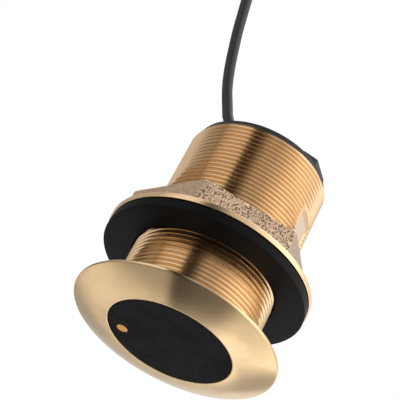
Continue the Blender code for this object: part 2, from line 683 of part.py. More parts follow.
def make_collar():
    lip = SHOULDER_BOTTOM - GAP - COLLAR_LIP
    inside = SHOULDER_RADIUS + 2 * GAP
    top = lip + COLLAR_LENGTH
    profile = ((inside, top), (COLLAR_RADIUS, top), (COLLAR_RADIUS, lip), (BODY_RADIUS + 2 * GAP, lip),
               (BODY_RADIUS + 2 * GAP, lip + COLLAR_LIP), (inside, lip + COLLAR_LIP))
    collar = turned("plug_collar", profile, nylon, plug_axis, 56)
    grips = bmesh.new()
    for index in range(COLLAR_GRIPS):
        angle = math.tau * index / COLLAR_GRIPS
        reach = COLLAR_RADIUS + 0.6 * GRIP_RADIUS
        where = Matrix.Translation((reach * math.cos(angle), reach * math.sin(angle), lip + COLLAR_LENGTH / 2))
        bmesh.ops.create_cone(grips, cap_ends=True, segments=12, radius1=GRIP_RADIUS, radius2=GRIP_RADIUS,
                              depth=2 * COLLAR_LENGTH, matrix=where)
    mesh = bpy.data.meshes.new("grip_cutter")
    grips.to_mesh(mesh)
    grips.free()
    combine(collar, place(mesh, "grip_cutter", parent=plug_axis), "DIFFERENCE")


clear_scene()
parts = collection("sonar_transducer")
cutters = collection("cutters", hidden=True)

bronze = material("bronze_turned", (0.72, 0.50, 0.27), 0.32, 1.0)
bronze_cast = material("bronze_cast", (0.48, 0.34, 0.24), 0.62, 1.0)
brass = material("probe_brass", (0.85, 0.45, 0.12), 0.35, 1.0)
urethane = material("window_urethane", (0.016, 0.015, 0.015), 0.55)
cap_black = material("cap_plastic", (0.045, 0.045, 0.05), 0.45)
rubber = material("washer_rubber", (0.02, 0.02, 0.022), 0.6)
nylon = material("plug_nylon", (0.03, 0.03, 0.032), 0.45)
insert_grey = material("insert_plastic", (0.12, 0.12, 0.12), 0.5)
cable_black = material("cable_jacket", (0.03, 0.03, 0.032), 0.42)
strap = material("strap_fabric", (0.04, 0.04, 0.045), 0.85)
cork = material("cup_cork", (0.42, 0.27, 0.15), 0.85)
felt = material("pad_felt", (0.30, 0.30, 0.28), 0.95)
ceramic = material("element_ceramic", (0.72, 0.70, 0.62), 0.5)
potting = material("potting_resin", (0.10, 0.09, 0.06), 0.25)
epoxy = material("bead_epoxy", (0.05, 0.05, 0.12), 0.3)
board_green = material("board_laminate", (0.03, 0.18, 0.07), 0.45)
chip_black = material("chip_package", (0.02, 0.02, 0.02), 0.5)
ferrite = material("core_ferrite", (0.10, 0.09, 0.09), 0.7)
copper = material("winding_copper", (0.72, 0.32, 0.15), 0.35, 1.0)
gold = material("pin_gold", (0.90, 0.70, 0.30), 0.25, 1.0)
lead_red = material("lead_red", (0.45, 0.03, 0.02), 0.5)
lead_black = material("lead_black", (0.02, 0.02, 0.02), 0.5)

core_axis = axis("core_axis", (0.0, 0.0, 0.0), (0.0, 0.0, CORE_ANGLE))
element_axis = axis("element_axis", (-ELEMENT_OFFSET, 0.0, window_height(-ELEMENT_OFFSET)), (0.0, -TILT, 0.0),
                    core_axis)
probe_axis = axis("probe_axis", (PROBE_OFFSET, 0.0, 0.0), parent=core_axis)
gland_axis = axis("gland_axis", CABLE_EXIT)
nut_axis = axis("nut_axis", (0.0, 0.0, 0.0))
coil_axis = axis("coil_axis", COIL_CENTRE)
plug_axis = axis("plug_axis", PLUG_START, (0.0, math.pi / 2, 0.0))
bpy.context.view_layer.update()

make_housing()
make_window()
make_probe()
make_element()
make_resin()
make_board()
make_cap()
make_gland()
make_washer()
make_nut()
make_cable()
make_ties()
make_plug()
make_collar()
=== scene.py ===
"""Visual model of a bronze through-hull sonar transducer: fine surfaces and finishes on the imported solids.

Metres, +Z up the stem. The acoustic window's face lies on z = 0.
"""

import math

import bmesh
import bpy
import numpy as np
from bpy.props import FloatProperty, FloatVectorProperty, IntProperty, PointerProperty
from mathutils import Matrix, Vector


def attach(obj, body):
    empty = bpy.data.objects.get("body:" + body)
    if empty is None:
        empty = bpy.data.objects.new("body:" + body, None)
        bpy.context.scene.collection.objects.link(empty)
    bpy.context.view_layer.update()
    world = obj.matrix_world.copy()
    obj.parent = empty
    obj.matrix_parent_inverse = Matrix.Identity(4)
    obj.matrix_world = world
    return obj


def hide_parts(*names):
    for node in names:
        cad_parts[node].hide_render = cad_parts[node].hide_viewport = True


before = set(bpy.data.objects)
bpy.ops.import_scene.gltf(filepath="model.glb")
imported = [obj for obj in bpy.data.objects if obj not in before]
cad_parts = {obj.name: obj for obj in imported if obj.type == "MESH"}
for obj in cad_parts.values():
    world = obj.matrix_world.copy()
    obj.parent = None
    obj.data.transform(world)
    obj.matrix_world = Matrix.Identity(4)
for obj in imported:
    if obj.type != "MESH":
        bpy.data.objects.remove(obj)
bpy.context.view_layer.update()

bl_info = {
    "name": "Through-hull transducer",
    "version": (1, 0, 0),
    "blender": (4, 5, 0),
    "location": "3D View > Sidebar > Transducer",
    "description": "Builds the looks of a bronze through-hull sonar transducer on its solids",
    "category": "Object",
}

# Clearance between pieces that touch
GAP = 0.0003

# Cable route: the same points as the solid cable's
CABLE_ROUTE = (
    (-0.0134, 0.0070, 0.1020),
    (-0.0166, 0.0084, 0.1064),
    (-0.0212, 0.0093, 0.1110),
    (-0.0245, 0.0086, 0.1172),
    (-0.0276, 0.0069, 0.1229),
    (-0.0300, 0.0045, 0.1285),
    (-0.0320, 0.0016, 0.1341),
    (-0.0337, -0.0018, 0.1394),
    (-0.0353, -0.0054, 0.1446),
    (-0.0369, -0.0094, 0.1514),
    (-0.0380, -0.0118, 0.1562),
    (-0.0397, -0.0139, 0.1670),
    (-0.0446, -0.0161, 0.1774),
    (-0.0536, -0.0186, 0.1845),
    (-0.0650, -0.0214, 0.1868),
    (-0.0770, -0.0244, 0.1834),
    (-0.0876, -0.0275, 0.1752),
    (-0.0968, -0.0304, 0.1630),
    (-0.1043, -0.0330, 0.1482),
    (-0.1107, -0.0353, 0.1322),
    (-0.1158, -0.0371, 0.1157),
    (-0.1197, -0.0384, 0.0986),
    (-0.1226, -0.0393, 0.0811),
    (-0.1247, -0.0399, 0.0655),
    (-0.1262, -0.0403, 0.0500),
    (-0.1270, -0.0405, 0.0350),
    (-0.1295, -0.0405, 0.0258),
    (-0.1363, -0.0405, 0.0190),
)
CABLE_START = (-0.012507, 0.006511, 0.0963)
STRAIGHT_END = 0.0020
POINT_SPACING = 0.004

# Coil and its ties
COIL_CENTRE = (-0.1475, 0.0095, 0.0)
COIL_RADIUS = 0.0325
COIL_SECTION = 0.0148627
TIE_THICKNESS = 0.0013
TIE_WIDTH = 0.0060
TIE_EDGE = 0.0004
TIE_ANGLES = (225.0, 325.0, 90.0)
COIL_HEIGHT = COIL_SECTION + GAP + TIE_THICKNESS

# Turning angles in the coil, in degrees: the step between points, the stretch from the entry to the first
# place, the middle and the half of the stretch in which each turn changes its place, and where the last part
# turn ends, with the stretch in which it rises to that end
TURN_STEP = 7.5
ENTRY_STRETCH = 38.0
CHANGE_MIDDLE = 240.0
CHANGE_HALF = 32.0
LEAVING_ANGLE = 90.0
LEAVING_STRETCH = 40.0

# Tail, measured from where it leaves the coil, and the place of the plug
TAIL_ROUTE = (
    (0.0012, 0.0100, 0.0009),
    (0.0047, 0.0191, 0.0029),
    (0.0102, 0.0263, 0.0054),
    (0.0171, 0.0309, 0.0075),
)
PLUG_START = (-0.1530, 0.0420, 0.0423254)

# Plug, measured along its own axis from the cable's end. COLLAR_SKIN is the least radius of the coupling
# ring's outer side. Its grips leave GRIP_END plain and fade over GRIP_FADE at each end.
BOOT_LENGTH = 0.0220
BOOT_TIP = 0.0034
BOOT_GROOVE = 0.0006
BODY_RADIUS = 0.0083
BODY_LENGTH = 0.0260
BODY_BORE = 0.0062
NOSE_RADIUS = 0.0076
SHOULDER_RADIUS = 0.0094
SHOULDER_PLACE = 0.0052
SHOULDER_WIDTH = 0.0022
COLLAR_RADIUS = 0.0113
COLLAR_LIP = 0.0022
COLLAR_LENGTH = 0.0240
COLLAR_SKIN = 0.0105
GRIP_DEPTH = 0.0007
GRIP_END = 0.0016
GRIP_FADE = 0.0012

# Housing
STEM_TOP = 0.0880
STEM_BORE = 0.0240
STEM_CHAMFER = 0.0013
CHAMFER_RADIUS = 0.0284
RELIEF_RADIUS = 0.0284
THREAD_BOTTOM = 0.0085
FLANGE_RADIUS = 0.0425
FLANGE_BACK = 0.0055
FACE_RISE = 0.0045
FACE_BULGE = 0.0008
LIP_WIDTH = 0.0006
WINDOW_BORE = 0.02595
WINDOW_BORE_TOP = 0.034
BORE_STEP = 0.00195

# Cast channel in the thread: it lies within CHANNEL_REACH of its angle, and its rough skin ends a little past
# the flat of its floor
CHANNEL_ANGLE = math.radians(-23.5)
CHANNEL_REACH = math.radians(24.0)
CHANNEL_FLOOR = 0.0272
CHANNEL_HALF = 0.0080
CHANNEL_FILLET = 0.0030
CHANNEL_BOTTOM = 0.0370
CHANNEL_TOP = 0.0745
CHANNEL_SCOOP = 0.0080
CHANNEL_SKIN_SIDE = 0.0008
CHANNEL_SKIN_END = 0.0006

# Thread profile, in shares of the pitch: half the crest's width, a flank's width and two points on a flank.
# The last is how much deeper the root's middle is, in metres.
CREST_HALF = 0.0625
FLANK_WIDTH = 0.3125
FLANK_PLACES = (0.17, 0.27)
ROOT_HOLLOW = 0.00003

# Columns of the housing's grid: the fine ones' reach to each side of the channel and their step, in degrees,
# and how many coarse ones go round the rest, counting the last fine one at each side
FINE_REACH = 19.0
FINE_STEP = 0.5
COARSE_COLUMNS = 130

# Washer and hull nut. The hexagon's corners are softened by a power mean of its radius and their limit, the
# foot's points are (outwards, up), and each flat has its share of the pits. The same share paints shade on
# the flats where it is small, whose skin is painted darker and greyer.
WASHER_BORE = 0.0303
WASHER_RADIUS = 0.0428
WASHER_BOTTOM = 0.0314
WASHER_TOP = 0.0356
NUT_BORE = 0.0300
NUT_BORE_EDGE = 0.0006
NUT_BORE_CHAMFER = 0.0005
NUT_BOTTOM = 0.0359
NUT_BAND_TOP = 0.0382
NUT_BAND_RADIUS = 0.0432
NUT_BAND_INNER = 0.0405
NUT_TOP = 0.0501
NUT_TOP_EDGE = 0.0007
NUT_CORNER = 0.0401
NUT_CORNER_LIMIT = 0.0402
NUT_CORNER_POWER = 90.0
NUT_CORNER_ANGLE = math.radians(-113.3)
NUT_FOOT = ((0.0008, 0.0), (0.0003, 0.00012), (0.0001, 0.0003))
NUT_FLAT_PITS_AND_SHADE = (1.0, 0.30, 0.55, 0.85, 0.40, 0.50)

# Cap's top and thickness, and the gland
CAP_TOP = 0.0904
CAP_PLATE = 0.0032
GLAND_NECK = 0.00335
GLAND_COLLAR = 0.0050
GLAND_COLLAR_EDGE = 0.0047
GLAND_TIP = 0.0033
GLAND_HEIGHT = 0.0056
GLAND_BEAD = 0.0048
GLAND_BEAD_THICKNESS = 0.0026
GLAND_GROOVE = 0.00025
GLAND_GROOVE_PITCH = 0.0019

# Camera, as fitted to the photographed ellipses
CAMERA_PLACE = (0.0, -0.52809, -0.26962)
CAMERA_RIGHT = (0.8871371, -0.22730947, 0.40164434)
CAMERA_UP = (-0.46085126, -0.48267042, 0.74474518)
CAMERA_LENS = 140.064


class TransducerSizes(bpy.types.PropertyGroup):
    stem_radius: FloatProperty(name="Stem radius", description="Radius over the thread's crests",
                               default=0.0297, unit="LENGTH", precision=5)
    thread_pitch: FloatProperty(name="Thread pitch", description="Rise of the stem's thread in one turn",
                                default=0.0020, unit="LENGTH", precision=5)
    thread_depth: FloatProperty(name="Thread depth", description="Depth of the thread from crest to root",
                                default=0.00108, unit="LENGTH", precision=5)
    cable_radius: FloatProperty(name="Cable radius", description="Radius of the cable's jacket",
                                default=0.00235, unit="LENGTH", precision=5)
    turn_spacing: FloatProperty(name="Turn spacing", description="Distance between turns side by side",
                                default=0.00478, unit="LENGTH", precision=5)
    cast_depth: FloatProperty(name="Casting roughness", description="Depth of the sand-cast hexagon's pits",
                              default=0.00012, unit="LENGTH", precision=5)
    collar_grips: IntProperty(name="Collar grips", description="Grip grooves round the plug's coupling ring",
                              default=14)
    bronze_colour: FloatVectorProperty(name="Bronze", description="Colour of freshly turned bronze", size=3,
                                       subtype="COLOR", default=(0.71, 0.495, 0.29))
    face_colour: FloatVectorProperty(name="Face", description="Colour of the satin turned face", size=3,
                                     subtype="COLOR", default=(0.75, 0.535, 0.295))
    cast_colour: FloatVectorProperty(name="Cast bronze", description="Colour of the sand-cast skin", size=3,
                                     subtype="COLOR", default=(0.76, 0.545, 0.38))
    jacket_colour: FloatVectorProperty(name="Jacket", description="Colour of the cable's jacket", size=3,
                                       subtype="COLOR", default=(0.030, 0.030, 0.032))


# Meshes worked out as grids


def full_turn(columns):
    """The angles of this many columns round the axis."""
    return np.arange(columns) * math.tau / columns


def about_axis(radius, angle, height):
    """The points (r cos t, r sin t, z)."""
    return np.stack([radius * np.cos(angle), radius * np.sin(angle), height], axis=-1)


def spread(column, columns):
    """One number for each row of a grid, repeated in all its columns."""
    return np.repeat(np.reshape(column, (-1, 1)), columns, axis=1)


def steps_along(path):
    return np.linalg.norm(np.diff(path, axis=0), axis=1)


def s_curve(share):
    """From 0 to 1, level at both ends."""
    return share * share * (3 - 2 * share)


def raised_cosine(place, pitch):
    """0 at each whole pitch, and 1 halfway between."""
    return 0.5 - 0.5 * np.cos(place / pitch * math.tau)


def skin(name, points, around=True, section=False, merge=0.0, sharp=38.0, lengths=None, marks=()):
    """A mesh from a grid of points, rows along the profile and columns around. Columns join round where
    around is set, and the last row joins the first where section is set. Lengths along the rows give it a UV
    map, and marks, (name, a number for each point), are what its material reads."""
    rows, columns = points.shape[:2]
    index = np.arange(rows * columns).reshape(rows, columns)
    across = columns if around else columns - 1
    down = rows if section else rows - 1
    first = index[np.arange(down)][:, np.arange(across)]
    right = index[np.arange(down)][:, (np.arange(across) + 1) % columns]
    below = index[(np.arange(down) + 1) % rows][:, np.arange(across)]
    corner = index[(np.arange(down) + 1) % rows][:, (np.arange(across) + 1) % columns]
    faces = np.stack([first, right, corner, below], axis=-1).reshape(-1, 4)
    flat = points.reshape(-1, 3)
    a, b, c, d = (flat[faces[:, k]] for k in range(4))
    volume = np.einsum("ij,ij->", a, np.cross(b, c)) + np.einsum("ij,ij->", a, np.cross(c, d))
    turned_round = volume < 0
    if turned_round:
        faces = faces[:, ::-1]
    mesh = bpy.data.meshes.new(name)
    mesh.vertices.add(len(flat))
    mesh.vertices.foreach_set("co", flat.astype(np.float32).ravel())
    mesh.loops.add(faces.size)
    mesh.loops.foreach_set("vertex_index", faces.astype(np.int32).ravel())
    mesh.polygons.add(len(faces))
    mesh.polygons.foreach_set("loop_start", np.arange(0, faces.size, 4, dtype=np.int32))
    mesh.update(calc_edges=True)
    if lengths is not None:
        layer = mesh.uv_layers.new(name="UVMap")
        u = np.broadcast_to(np.arange(across) / across, (down, across))
        v = np.broadcast_to(np.asarray(lengths)[:down, None], (down, across))
        step = np.diff(np.append(lengths, lengths[-1]))[:down, None]
        uv = np.stack([np.stack([u, v], -1), np.stack([u + 1 / across, v], -1),
                       np.stack([u + 1 / across, v + step], -1), np.stack([u, v + step], -1)], axis=2)
        uv = uv.reshape(-1, 4, 2)
        if turned_round:
            uv = uv[:, ::-1]
        layer.data.foreach_set("uv", uv.astype(np.float32).ravel())
    for label, values in marks:
        layer = mesh.attributes.new(label, "FLOAT", "POINT")
        layer.data.foreach_set("value", values.astype(np.float32).ravel())
    return mesh, merge, sharp


def finished(made, body, look, *replaced, slot=None):
    """Puts a grid's mesh in the scene as one smooth piece that rides on a body."""
    mesh, merge, sharp = made
    if merge:
        shape = bmesh.new()
        shape.from_mesh(mesh)
        bmesh.ops.remove_doubles(shape, verts=shape.verts, dist=merge)
        shape.to_mesh(mesh)
        shape.free()
    mesh.shade_smooth()
    mesh.set_sharp_from_angle(angle=math.radians(sharp))
    piece = bpy.data.objects.new(mesh.name, mesh)
    bpy.context.scene.collection.objects.link(piece)
    mesh.materials.append(look)
    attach(piece, body)
    if replaced:
        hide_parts(*replaced)
    return piece


def rounded(profile, radius, steps=4):
    """A profile whose inner corners are replaced by arcs of about this radius: each corner is cut back along
    both sides, and a quadratic curve joins the cuts."""
    profile = np.asarray(profile, float)
    made = [profile[0]]
    for before, corner, after in zip(profile, profile[1:], profile[2:]):
        back = before - corner
        on = after - corner
        cut = min(radius, 0.45 * np.linalg.norm(back), 0.45 * np.linalg.norm(on))
        start = corner + back / np.linalg.norm(back) * cut
        end = corner + on / np.linalg.norm(on) * cut
        t = np.linspace(0.0, 1.0, steps)[:, None]
        made.extend((1 - t) ** 2 * start + 2 * t * (1 - t) * corner + t ** 2 * end)
    made.append(profile[-1])
    return np.array(made)


def revolved(profile, columns, radius_change=None):
    """Points of a surface of revolution about +Z: each profile point (r, z) at each angle t gives
    (r cos t, r sin t, z). radius_change(r, z, t) may change r."""
    profile = np.asarray(profile, float)
    angle = full_turn(columns)
    r, z = (spread(profile[:, k], columns) for k in range(2))
    if radius_change is not None:
        r = radius_change(r, z, angle)
    return about_axis(r, angle, z)


def smooth_through(points, steps=24):
    """Points on the Catmull-Rom curve through the given ones: each span blends its four nearest points with
    the cubic weights of that curve."""
    points = np.asarray(points, float)
    points = np.vstack([2 * points[0] - points[1], points, 2 * points[-1] - points[-2]])
    a, b, c, d = (points[k:len(points) - 3 + k, None] for k in range(4))
    t = (np.arange(steps) / steps)[None, :, None]
    squared = (2 * a - 5 * b + 4 * c - d) * t ** 2
    cubed = (3 * b - a - 3 * c + d) * t ** 3
    curve = 0.5 * (2 * b + (c - a) * t + squared + cubed)
    return np.vstack([curve.reshape(-1, 3), points[-2]])


def even(points, spacing):
    """The same line with points about this far apart, by its length."""
    along = np.concatenate([[0.0], np.cumsum(steps_along(points))])
    wanted = np.linspace(0.0, along[-1], max(2, round(along[-1] / spacing)) + 1)
    return np.stack([np.interp(wanted, along, points[:, k]) for k in range(3)], axis=-1)


def tube(name, path, radius, columns=12):
    """A round tube along a path: each ring is a circle in the plane across the path, set out from two
    directions, one level and one square to it and to the path. Both ends close to a point."""
    along = np.gradient(path, axis=0)
    along /= np.linalg.norm(along, axis=1)[:, None]
    side = np.cross(along, [0.0, 0.0, 1.0])
    # Where the path is near upright, the level direction is carried over from its neighbours
    side[np.abs(along[:, 2]) > 0.95] = 0.0
    length = np.linalg.norm(side, axis=1)
    good = np.flatnonzero(length > 1e-6)
    for k in range(3):
        side[:, k] = np.interp(np.arange(len(path)), good, side[good, k] / length[good])
    side -= along * np.einsum("ij,ij->i", side, along)[:, None]
    side /= np.linalg.norm(side, axis=1)[:, None]
    up = np.cross(side, along)
    angle = full_turn(columns)
    ring = np.cos(angle)[None, :, None] * side[:, None] + np.sin(angle)[None, :, None] * up[:, None]
    points = path[:, None] + radius * ring
    ends = [np.repeat(path[k][None, None], columns, axis=1) for k in (0, -1)]
    points = np.concatenate([ends[0], points, ends[1]])
    step = steps_along(path)
    lengths = np.concatenate([[0.0, 0.0], np.cumsum(step), [step.sum()]])
    return skin(name, points, merge=1e-7, sharp=60.0, lengths=lengths)


# Materials


class Nodes:
    """A short way to write a node tree: most calls add nodes and give the last one's output."""

    def __init__(self, tree):
        self.tree = tree
        self.count = 0
        self.shader = None
        self.out = None

    def node(self, kind, **settings):
        made = self.tree.nodes.new(kind)
        made.location = (200 * (self.count % 8), -220 * (self.count // 8))
        self.count += 1
        for key, value in settings.items():
            setattr(made, key, value)
        return made

    def put(self, socket, value):
        if isinstance(value, bpy.types.NodeSocket):
            self.tree.links.new(value, socket)
        elif isinstance(value, tuple) and len(value) == 3 and socket.type == "RGBA":
            socket.default_value = (*value, 1.0)
        else:
            socket.default_value = value

    def math(self, operation, a, b=0.5):
        made = self.node("ShaderNodeMath", operation=operation)
        self.put(made.inputs[0], a)
        self.put(made.inputs[1], b)
        return made.outputs[0]

    def times(self, first, *factors):
        made = first
        for factor in factors:
            made = self.math("MULTIPLY", made, factor)
        return made

    def dimmed(self, light, mask, share):
        """The light, less this share of it where the mask is 1."""
        return self.times(light, self.math("SUBTRACT", 1.0, self.times(mask, share)))

    def range(self, value, low, high, out_low=0.0, out_high=1.0):
        """An S-shaped step from out_low to out_high while the value goes from low to high."""
        made = self.node("ShaderNodeMapRange", interpolation_type="SMOOTHSTEP")
        names = ("Value", "From Min", "From Max", "To Min", "To Max")
        for name, given in zip(names, (value, low, high, out_low, out_high)):
            self.put(made.inputs[name], given)
        return made.outputs[0]

    def mix(self, share, a, b):
        made = self.node("ShaderNodeMix", data_type="RGBA")
        self.put(made.inputs[0], share)
        self.put(made.inputs[6], a)
        self.put(made.inputs[7], b)
        return made.outputs[2]

    def tones(self, share, colour, low, high):
        """The colour times a factor that goes from low to high with the share."""
        return self.mix(share, scaled(colour, low), scaled(colour, high))

    def gloss(self, noise, low, high):
        """A roughness that goes from low to high through the middle of a noise."""
        return self.range(noise, 0.3, 0.7, low, high)

    def mix_shaders(self, share, first, second):
        made = self.node("ShaderNodeMixShader")
        for place, given in enumerate((share, first, second)):
            self.put(made.inputs[place], given)
        return made.outputs[0]

    def mapped(self, place, scale):
        mapping = self.node("ShaderNodeMapping")
        mapping.inputs["Scale"].default_value = scale
        self.put(mapping.inputs["Vector"], place)
        return mapping.outputs[0]

    def object_place(self, scale=(1.0, 1.0, 1.0)):
        return self.mapped(self.node("ShaderNodeTexCoord").outputs["Object"], scale)

    def uv_place(self, scale):
        return self.mapped(self.node("ShaderNodeUVMap", uv_map="UVMap").outputs[0], scale)

    def mark(self, name):
        """A number that the mesh holds for each point."""
        return self.node("ShaderNodeAttribute", attribute_name=name).outputs["Fac"]

    def noise(self, place, scale, detail=4.0, roughness=0.55, distortion=0.0):
        made = self.node("ShaderNodeTexNoise")
        self.put(made.inputs["Vector"], place)
        names = ("Scale", "Detail", "Roughness", "Distortion")
        for name, given in zip(names, (scale, detail, roughness, distortion)):
            made.inputs[name].default_value = given
        return made.outputs["Fac"]

    def radius(self):
        """Distance from the Z axis."""
        split = self.node("ShaderNodeSeparateXYZ")
        self.put(split.inputs[0], self.object_place())
        squares = [self.math("POWER", split.outputs[k], 2.0) for k in range(2)]
        return self.math("SQRT", self.math("ADD", *squares))

    def bump(self, height, distance, strength=1.0, normal=None):
        made = self.node("ShaderNodeBump")
        made.inputs["Strength"].default_value = strength
        made.inputs["Distance"].default_value = distance
        self.put(made.inputs["Height"], height)
        if normal is not None:
            self.put(made.inputs["Normal"], normal)
        return made.outputs[0]

    def surface(self, colour, roughness=None, normal=None):
        """Links what is given to the shader."""
        for name, given in (("Base Color", colour), ("Roughness", roughness), ("Normal", normal)):
            if given is not None:
                self.put(self.shader.inputs[name], given)


def new_look(name, colour, roughness, metallic=0.0, specular=0.5):
    """A node material with its constant values on the shader's own sockets."""
    look = bpy.data.materials.new(name)
    look.use_nodes = True
    look.node_tree.nodes.clear()
    nodes = Nodes(look.node_tree)
    nodes.shader = nodes.node("ShaderNodeBsdfPrincipled")
    nodes.out = nodes.node("ShaderNodeOutputMaterial")
    nodes.put(nodes.out.inputs["Surface"], nodes.shader.outputs[0])
    values = {"Base Color": (*colour, 1.0), "Roughness": roughness, "Metallic": metallic,
              "Specular IOR Level": specular}
    for socket, value in values.items():
        nodes.shader.inputs[socket].default_value = value
    return look, nodes


def scaled(colour, factor):
    return tuple(min(1.0, channel * factor) for channel in colour)


def plain_finish(name, colour, roughness, grain, metallic=0.0, depth=0.00004, change=0.25, specular=0.5):
    """A moulded, cast or drawn finish: colour, gloss and a fine relief that vary with a noise in object
    space, whose scale is the grain."""
    look, nodes = new_look(name, colour, roughness, metallic, specular)
    place = nodes.object_place()
    wide = nodes.noise(place, grain / 12, 3.0)
    fine = nodes.noise(place, grain)
    nodes.surface(nodes.tones(wide, colour, 1 - change, 1 + change),
                  nodes.gloss(fine, roughness - 0.06, roughness + 0.06), nodes.bump(fine, depth, 0.6))
    return look


def turning_lines(nodes):
    """Fine lines round the axis, as a tool leaves them: a noise squeezed along Z."""
    return nodes.noise(nodes.object_place((1.0, 1.0, 30.0)), 220.0, 3.0)


def bronze_turned(colour):
    """Turned bronze: lines round the axis, a slow change of tone, and a cast skin on the channel's floor."""
    look, nodes = new_look("bronze_turned", colour, 0.24, 1.0)
    place = nodes.object_place()
    skin_share = nodes.mark("cast_skin")
    lines = turning_lines(nodes)
    tone = nodes.noise(place, 60.0, 3.0)
    pits = nodes.noise(place, 1400.0)
    turned_tone = nodes.tones(tone, colour, 0.93, 1.05)
    cast_tone = nodes.mix(pits, (0.58, 0.46, 0.34), (0.84, 0.70, 0.55))
    turned_gloss = nodes.gloss(lines, 0.12, 0.21)
    relief = nodes.bump(lines, 0.000012, 0.5)
    nodes.surface(nodes.mix(skin_share, turned_tone, cast_tone),
                  nodes.math("ADD", turned_gloss, nodes.times(skin_share, 0.28)),
                  nodes.bump(nodes.times(pits, skin_share), 0.00010, 0.8, relief))
    return look


def bronze_face(colour):
    """Satin turned face: fine rings round the axis and soft clouds of tarnish."""
    look, nodes = new_look("bronze_face", colour, 0.30, 1.0)
    rings = nodes.node("ShaderNodeTexNoise", noise_dimensions="1D")
    nodes.put(rings.inputs["W"], nodes.radius())
    rings.inputs["Scale"].default_value = 1400.0
    rings.inputs["Detail"].default_value = 1.0
    clouds = nodes.noise(nodes.object_place(), 45.0, 3.0)
    nodes.surface(nodes.tones(nodes.range(clouds, 0.35, 0.7), colour, 1.05, 0.84),
                  nodes.gloss(clouds, 0.14, 0.20), nodes.bump(rings.outputs["Fac"], 0.000006, 0.3))
    return look


def bronze_cast(colour, cast):
    """The hull nut: turned bronze on its band, and a sand-cast skin with dark pits on the hexagon."""
    look, nodes = new_look("bronze_cast", cast, 0.5, 1.0)
    place = nodes.object_place()
    share = nodes.mark("cast_skin")
    pits_and_shade = nodes.mark("pits_and_shade")
    grain = nodes.noise(place, 2000.0, 4.0, 0.7)
    sand = nodes.noise(place, 1350.0, 3.0, 0.6)
    wide = nodes.noise(place, 90.0, 2.0)
    lines = turning_lines(nodes)
    # The skin's tone: warm and sandy patches, dark in the pits, and painted shade that makes the flats with a
    # small share of pits darker and greyer
    warm = nodes.tones(wide, cast, 0.85, 1.15)
    sandy = nodes.tones(nodes.range(grain, 0.35, 0.7), cast, 0.75, 1.35)
    skin_tone = nodes.mix(0.55, warm, sandy)
    pit = nodes.times(nodes.range(sand, 0.53, 0.42), pits_and_shade, 0.85)
    skin_tone = nodes.mix(pit, skin_tone, (0.10, 0.060, 0.036))
    # Painted shade: the flats with a small share of pits are mixed towards a dark grey
    painted_flat_shade = nodes.times(nodes.range(pits_and_shade, 0.50, 0.30), 0.60)
    skin_tone = nodes.mix(painted_flat_shade, skin_tone, (0.30, 0.26, 0.23))
    band_gloss = nodes.gloss(lines, 0.20, 0.30)
    sand_depth = nodes.times(sand, nodes.math("ADD", pits_and_shade, 0.25))
    depth = nodes.times(nodes.math("ADD", sand_depth, nodes.times(grain, 0.35)), share)
    relief = nodes.bump(lines, 0.000010, 0.4)
    nodes.surface(nodes.mix(share, scaled(colour, 1.22), skin_tone),
                  nodes.math("ADD", nodes.times(share, 0.30), band_gloss),
                  nodes.bump(depth, 0.00042, 0.9, relief))
    return look


def jacket(colour):
    """Cable jacket: a satin black skin with faint lines along it and fine dust."""
    look, nodes = new_look("cable_jacket", colour, 0.42)
    along = nodes.noise(nodes.uv_place((40.0, 25.0, 1.0)), 1.0, 3.0)
    dust = nodes.noise(nodes.object_place(), 900.0)
    nodes.surface(nodes.tones(along, colour, 0.8, 1.35), nodes.gloss(dust, 0.36, 0.50),
                  nodes.bump(dust, 0.00003, 0.5))
    return look


def woven_strap(colour):
    """Woven tape: two crossed waves in the strap's own UV give over-and-under threads."""
    look, nodes = new_look("strap_weave", colour, 0.85)
    waves = []
    for scale, direction in (((170.0, 0.0, 1.0), "X"), ((0.0, 1500.0, 1.0), "Y")):
        wave = nodes.node("ShaderNodeTexWave", bands_direction=direction)
        nodes.put(wave.inputs["Vector"], nodes.uv_place(scale))
        wave.inputs["Scale"].default_value = 0.5
        waves.append(wave.outputs["Fac"])
    weave = nodes.times(*waves)
    fluff = nodes.noise(nodes.object_place(), 2500.0, 3.0)
    nodes.surface(nodes.tones(weave, colour, 0.5, 1.6),
                  normal=nodes.bump(nodes.math("ADD", weave, fluff), 0.00015, 0.8))
    return look


def wound(name, colour):
    """Enamelled wire: the sine of a noise in object space gives close uneven lines."""
    look, nodes = new_look(name, colour, 0.3, 1.0)
    turns = nodes.math("SINE", nodes.times(nodes.noise(nodes.object_place(), 300.0, 2.0), 60.0))
    nodes.surface(nodes.tones(nodes.range(turns, -1.0, 1.0), colour, 0.6, 1.0),
                  normal=nodes.bump(turns, 0.00005, 0.6))
    return look


def face_window():
    """Cast urethane: near black and matte, with faint swirls and specks from handling."""
    colour = (0.0048, 0.0038, 0.0040)
    look, nodes = new_look("window_urethane", colour, 0.60, 0.0, 0.05)
    place = nodes.object_place()
    swirl = nodes.noise(place, 70.0, 4.0, 0.6, 1.2)
    specks = nodes.noise(place, 2200.0, 3.0)
    nodes.surface(nodes.tones(swirl, colour, 0.9, 1.15), nodes.gloss(swirl, 0.48, 0.62),
                  nodes.bump(specks, 0.00002, 0.4))
    return look


# The stage


def stage_camera():
    data = bpy.data.cameras.new("camera")
    data.lens = CAMERA_LENS
    data.sensor_width = 36.0
    data.clip_start = 0.01
    data.clip_end = 50.0
    camera = bpy.data.objects.new("camera", data)
    right = Vector(CAMERA_RIGHT)
    up = Vector(CAMERA_UP)
    back = right.cross(up)
    turn = Matrix((right, up, back)).transposed().to_4x4()
    camera.matrix_world = Matrix.Translation(CAMERA_PLACE) @ turn
    bpy.context.scene.collection.objects.link(camera)
    bpy.context.scene.camera = camera


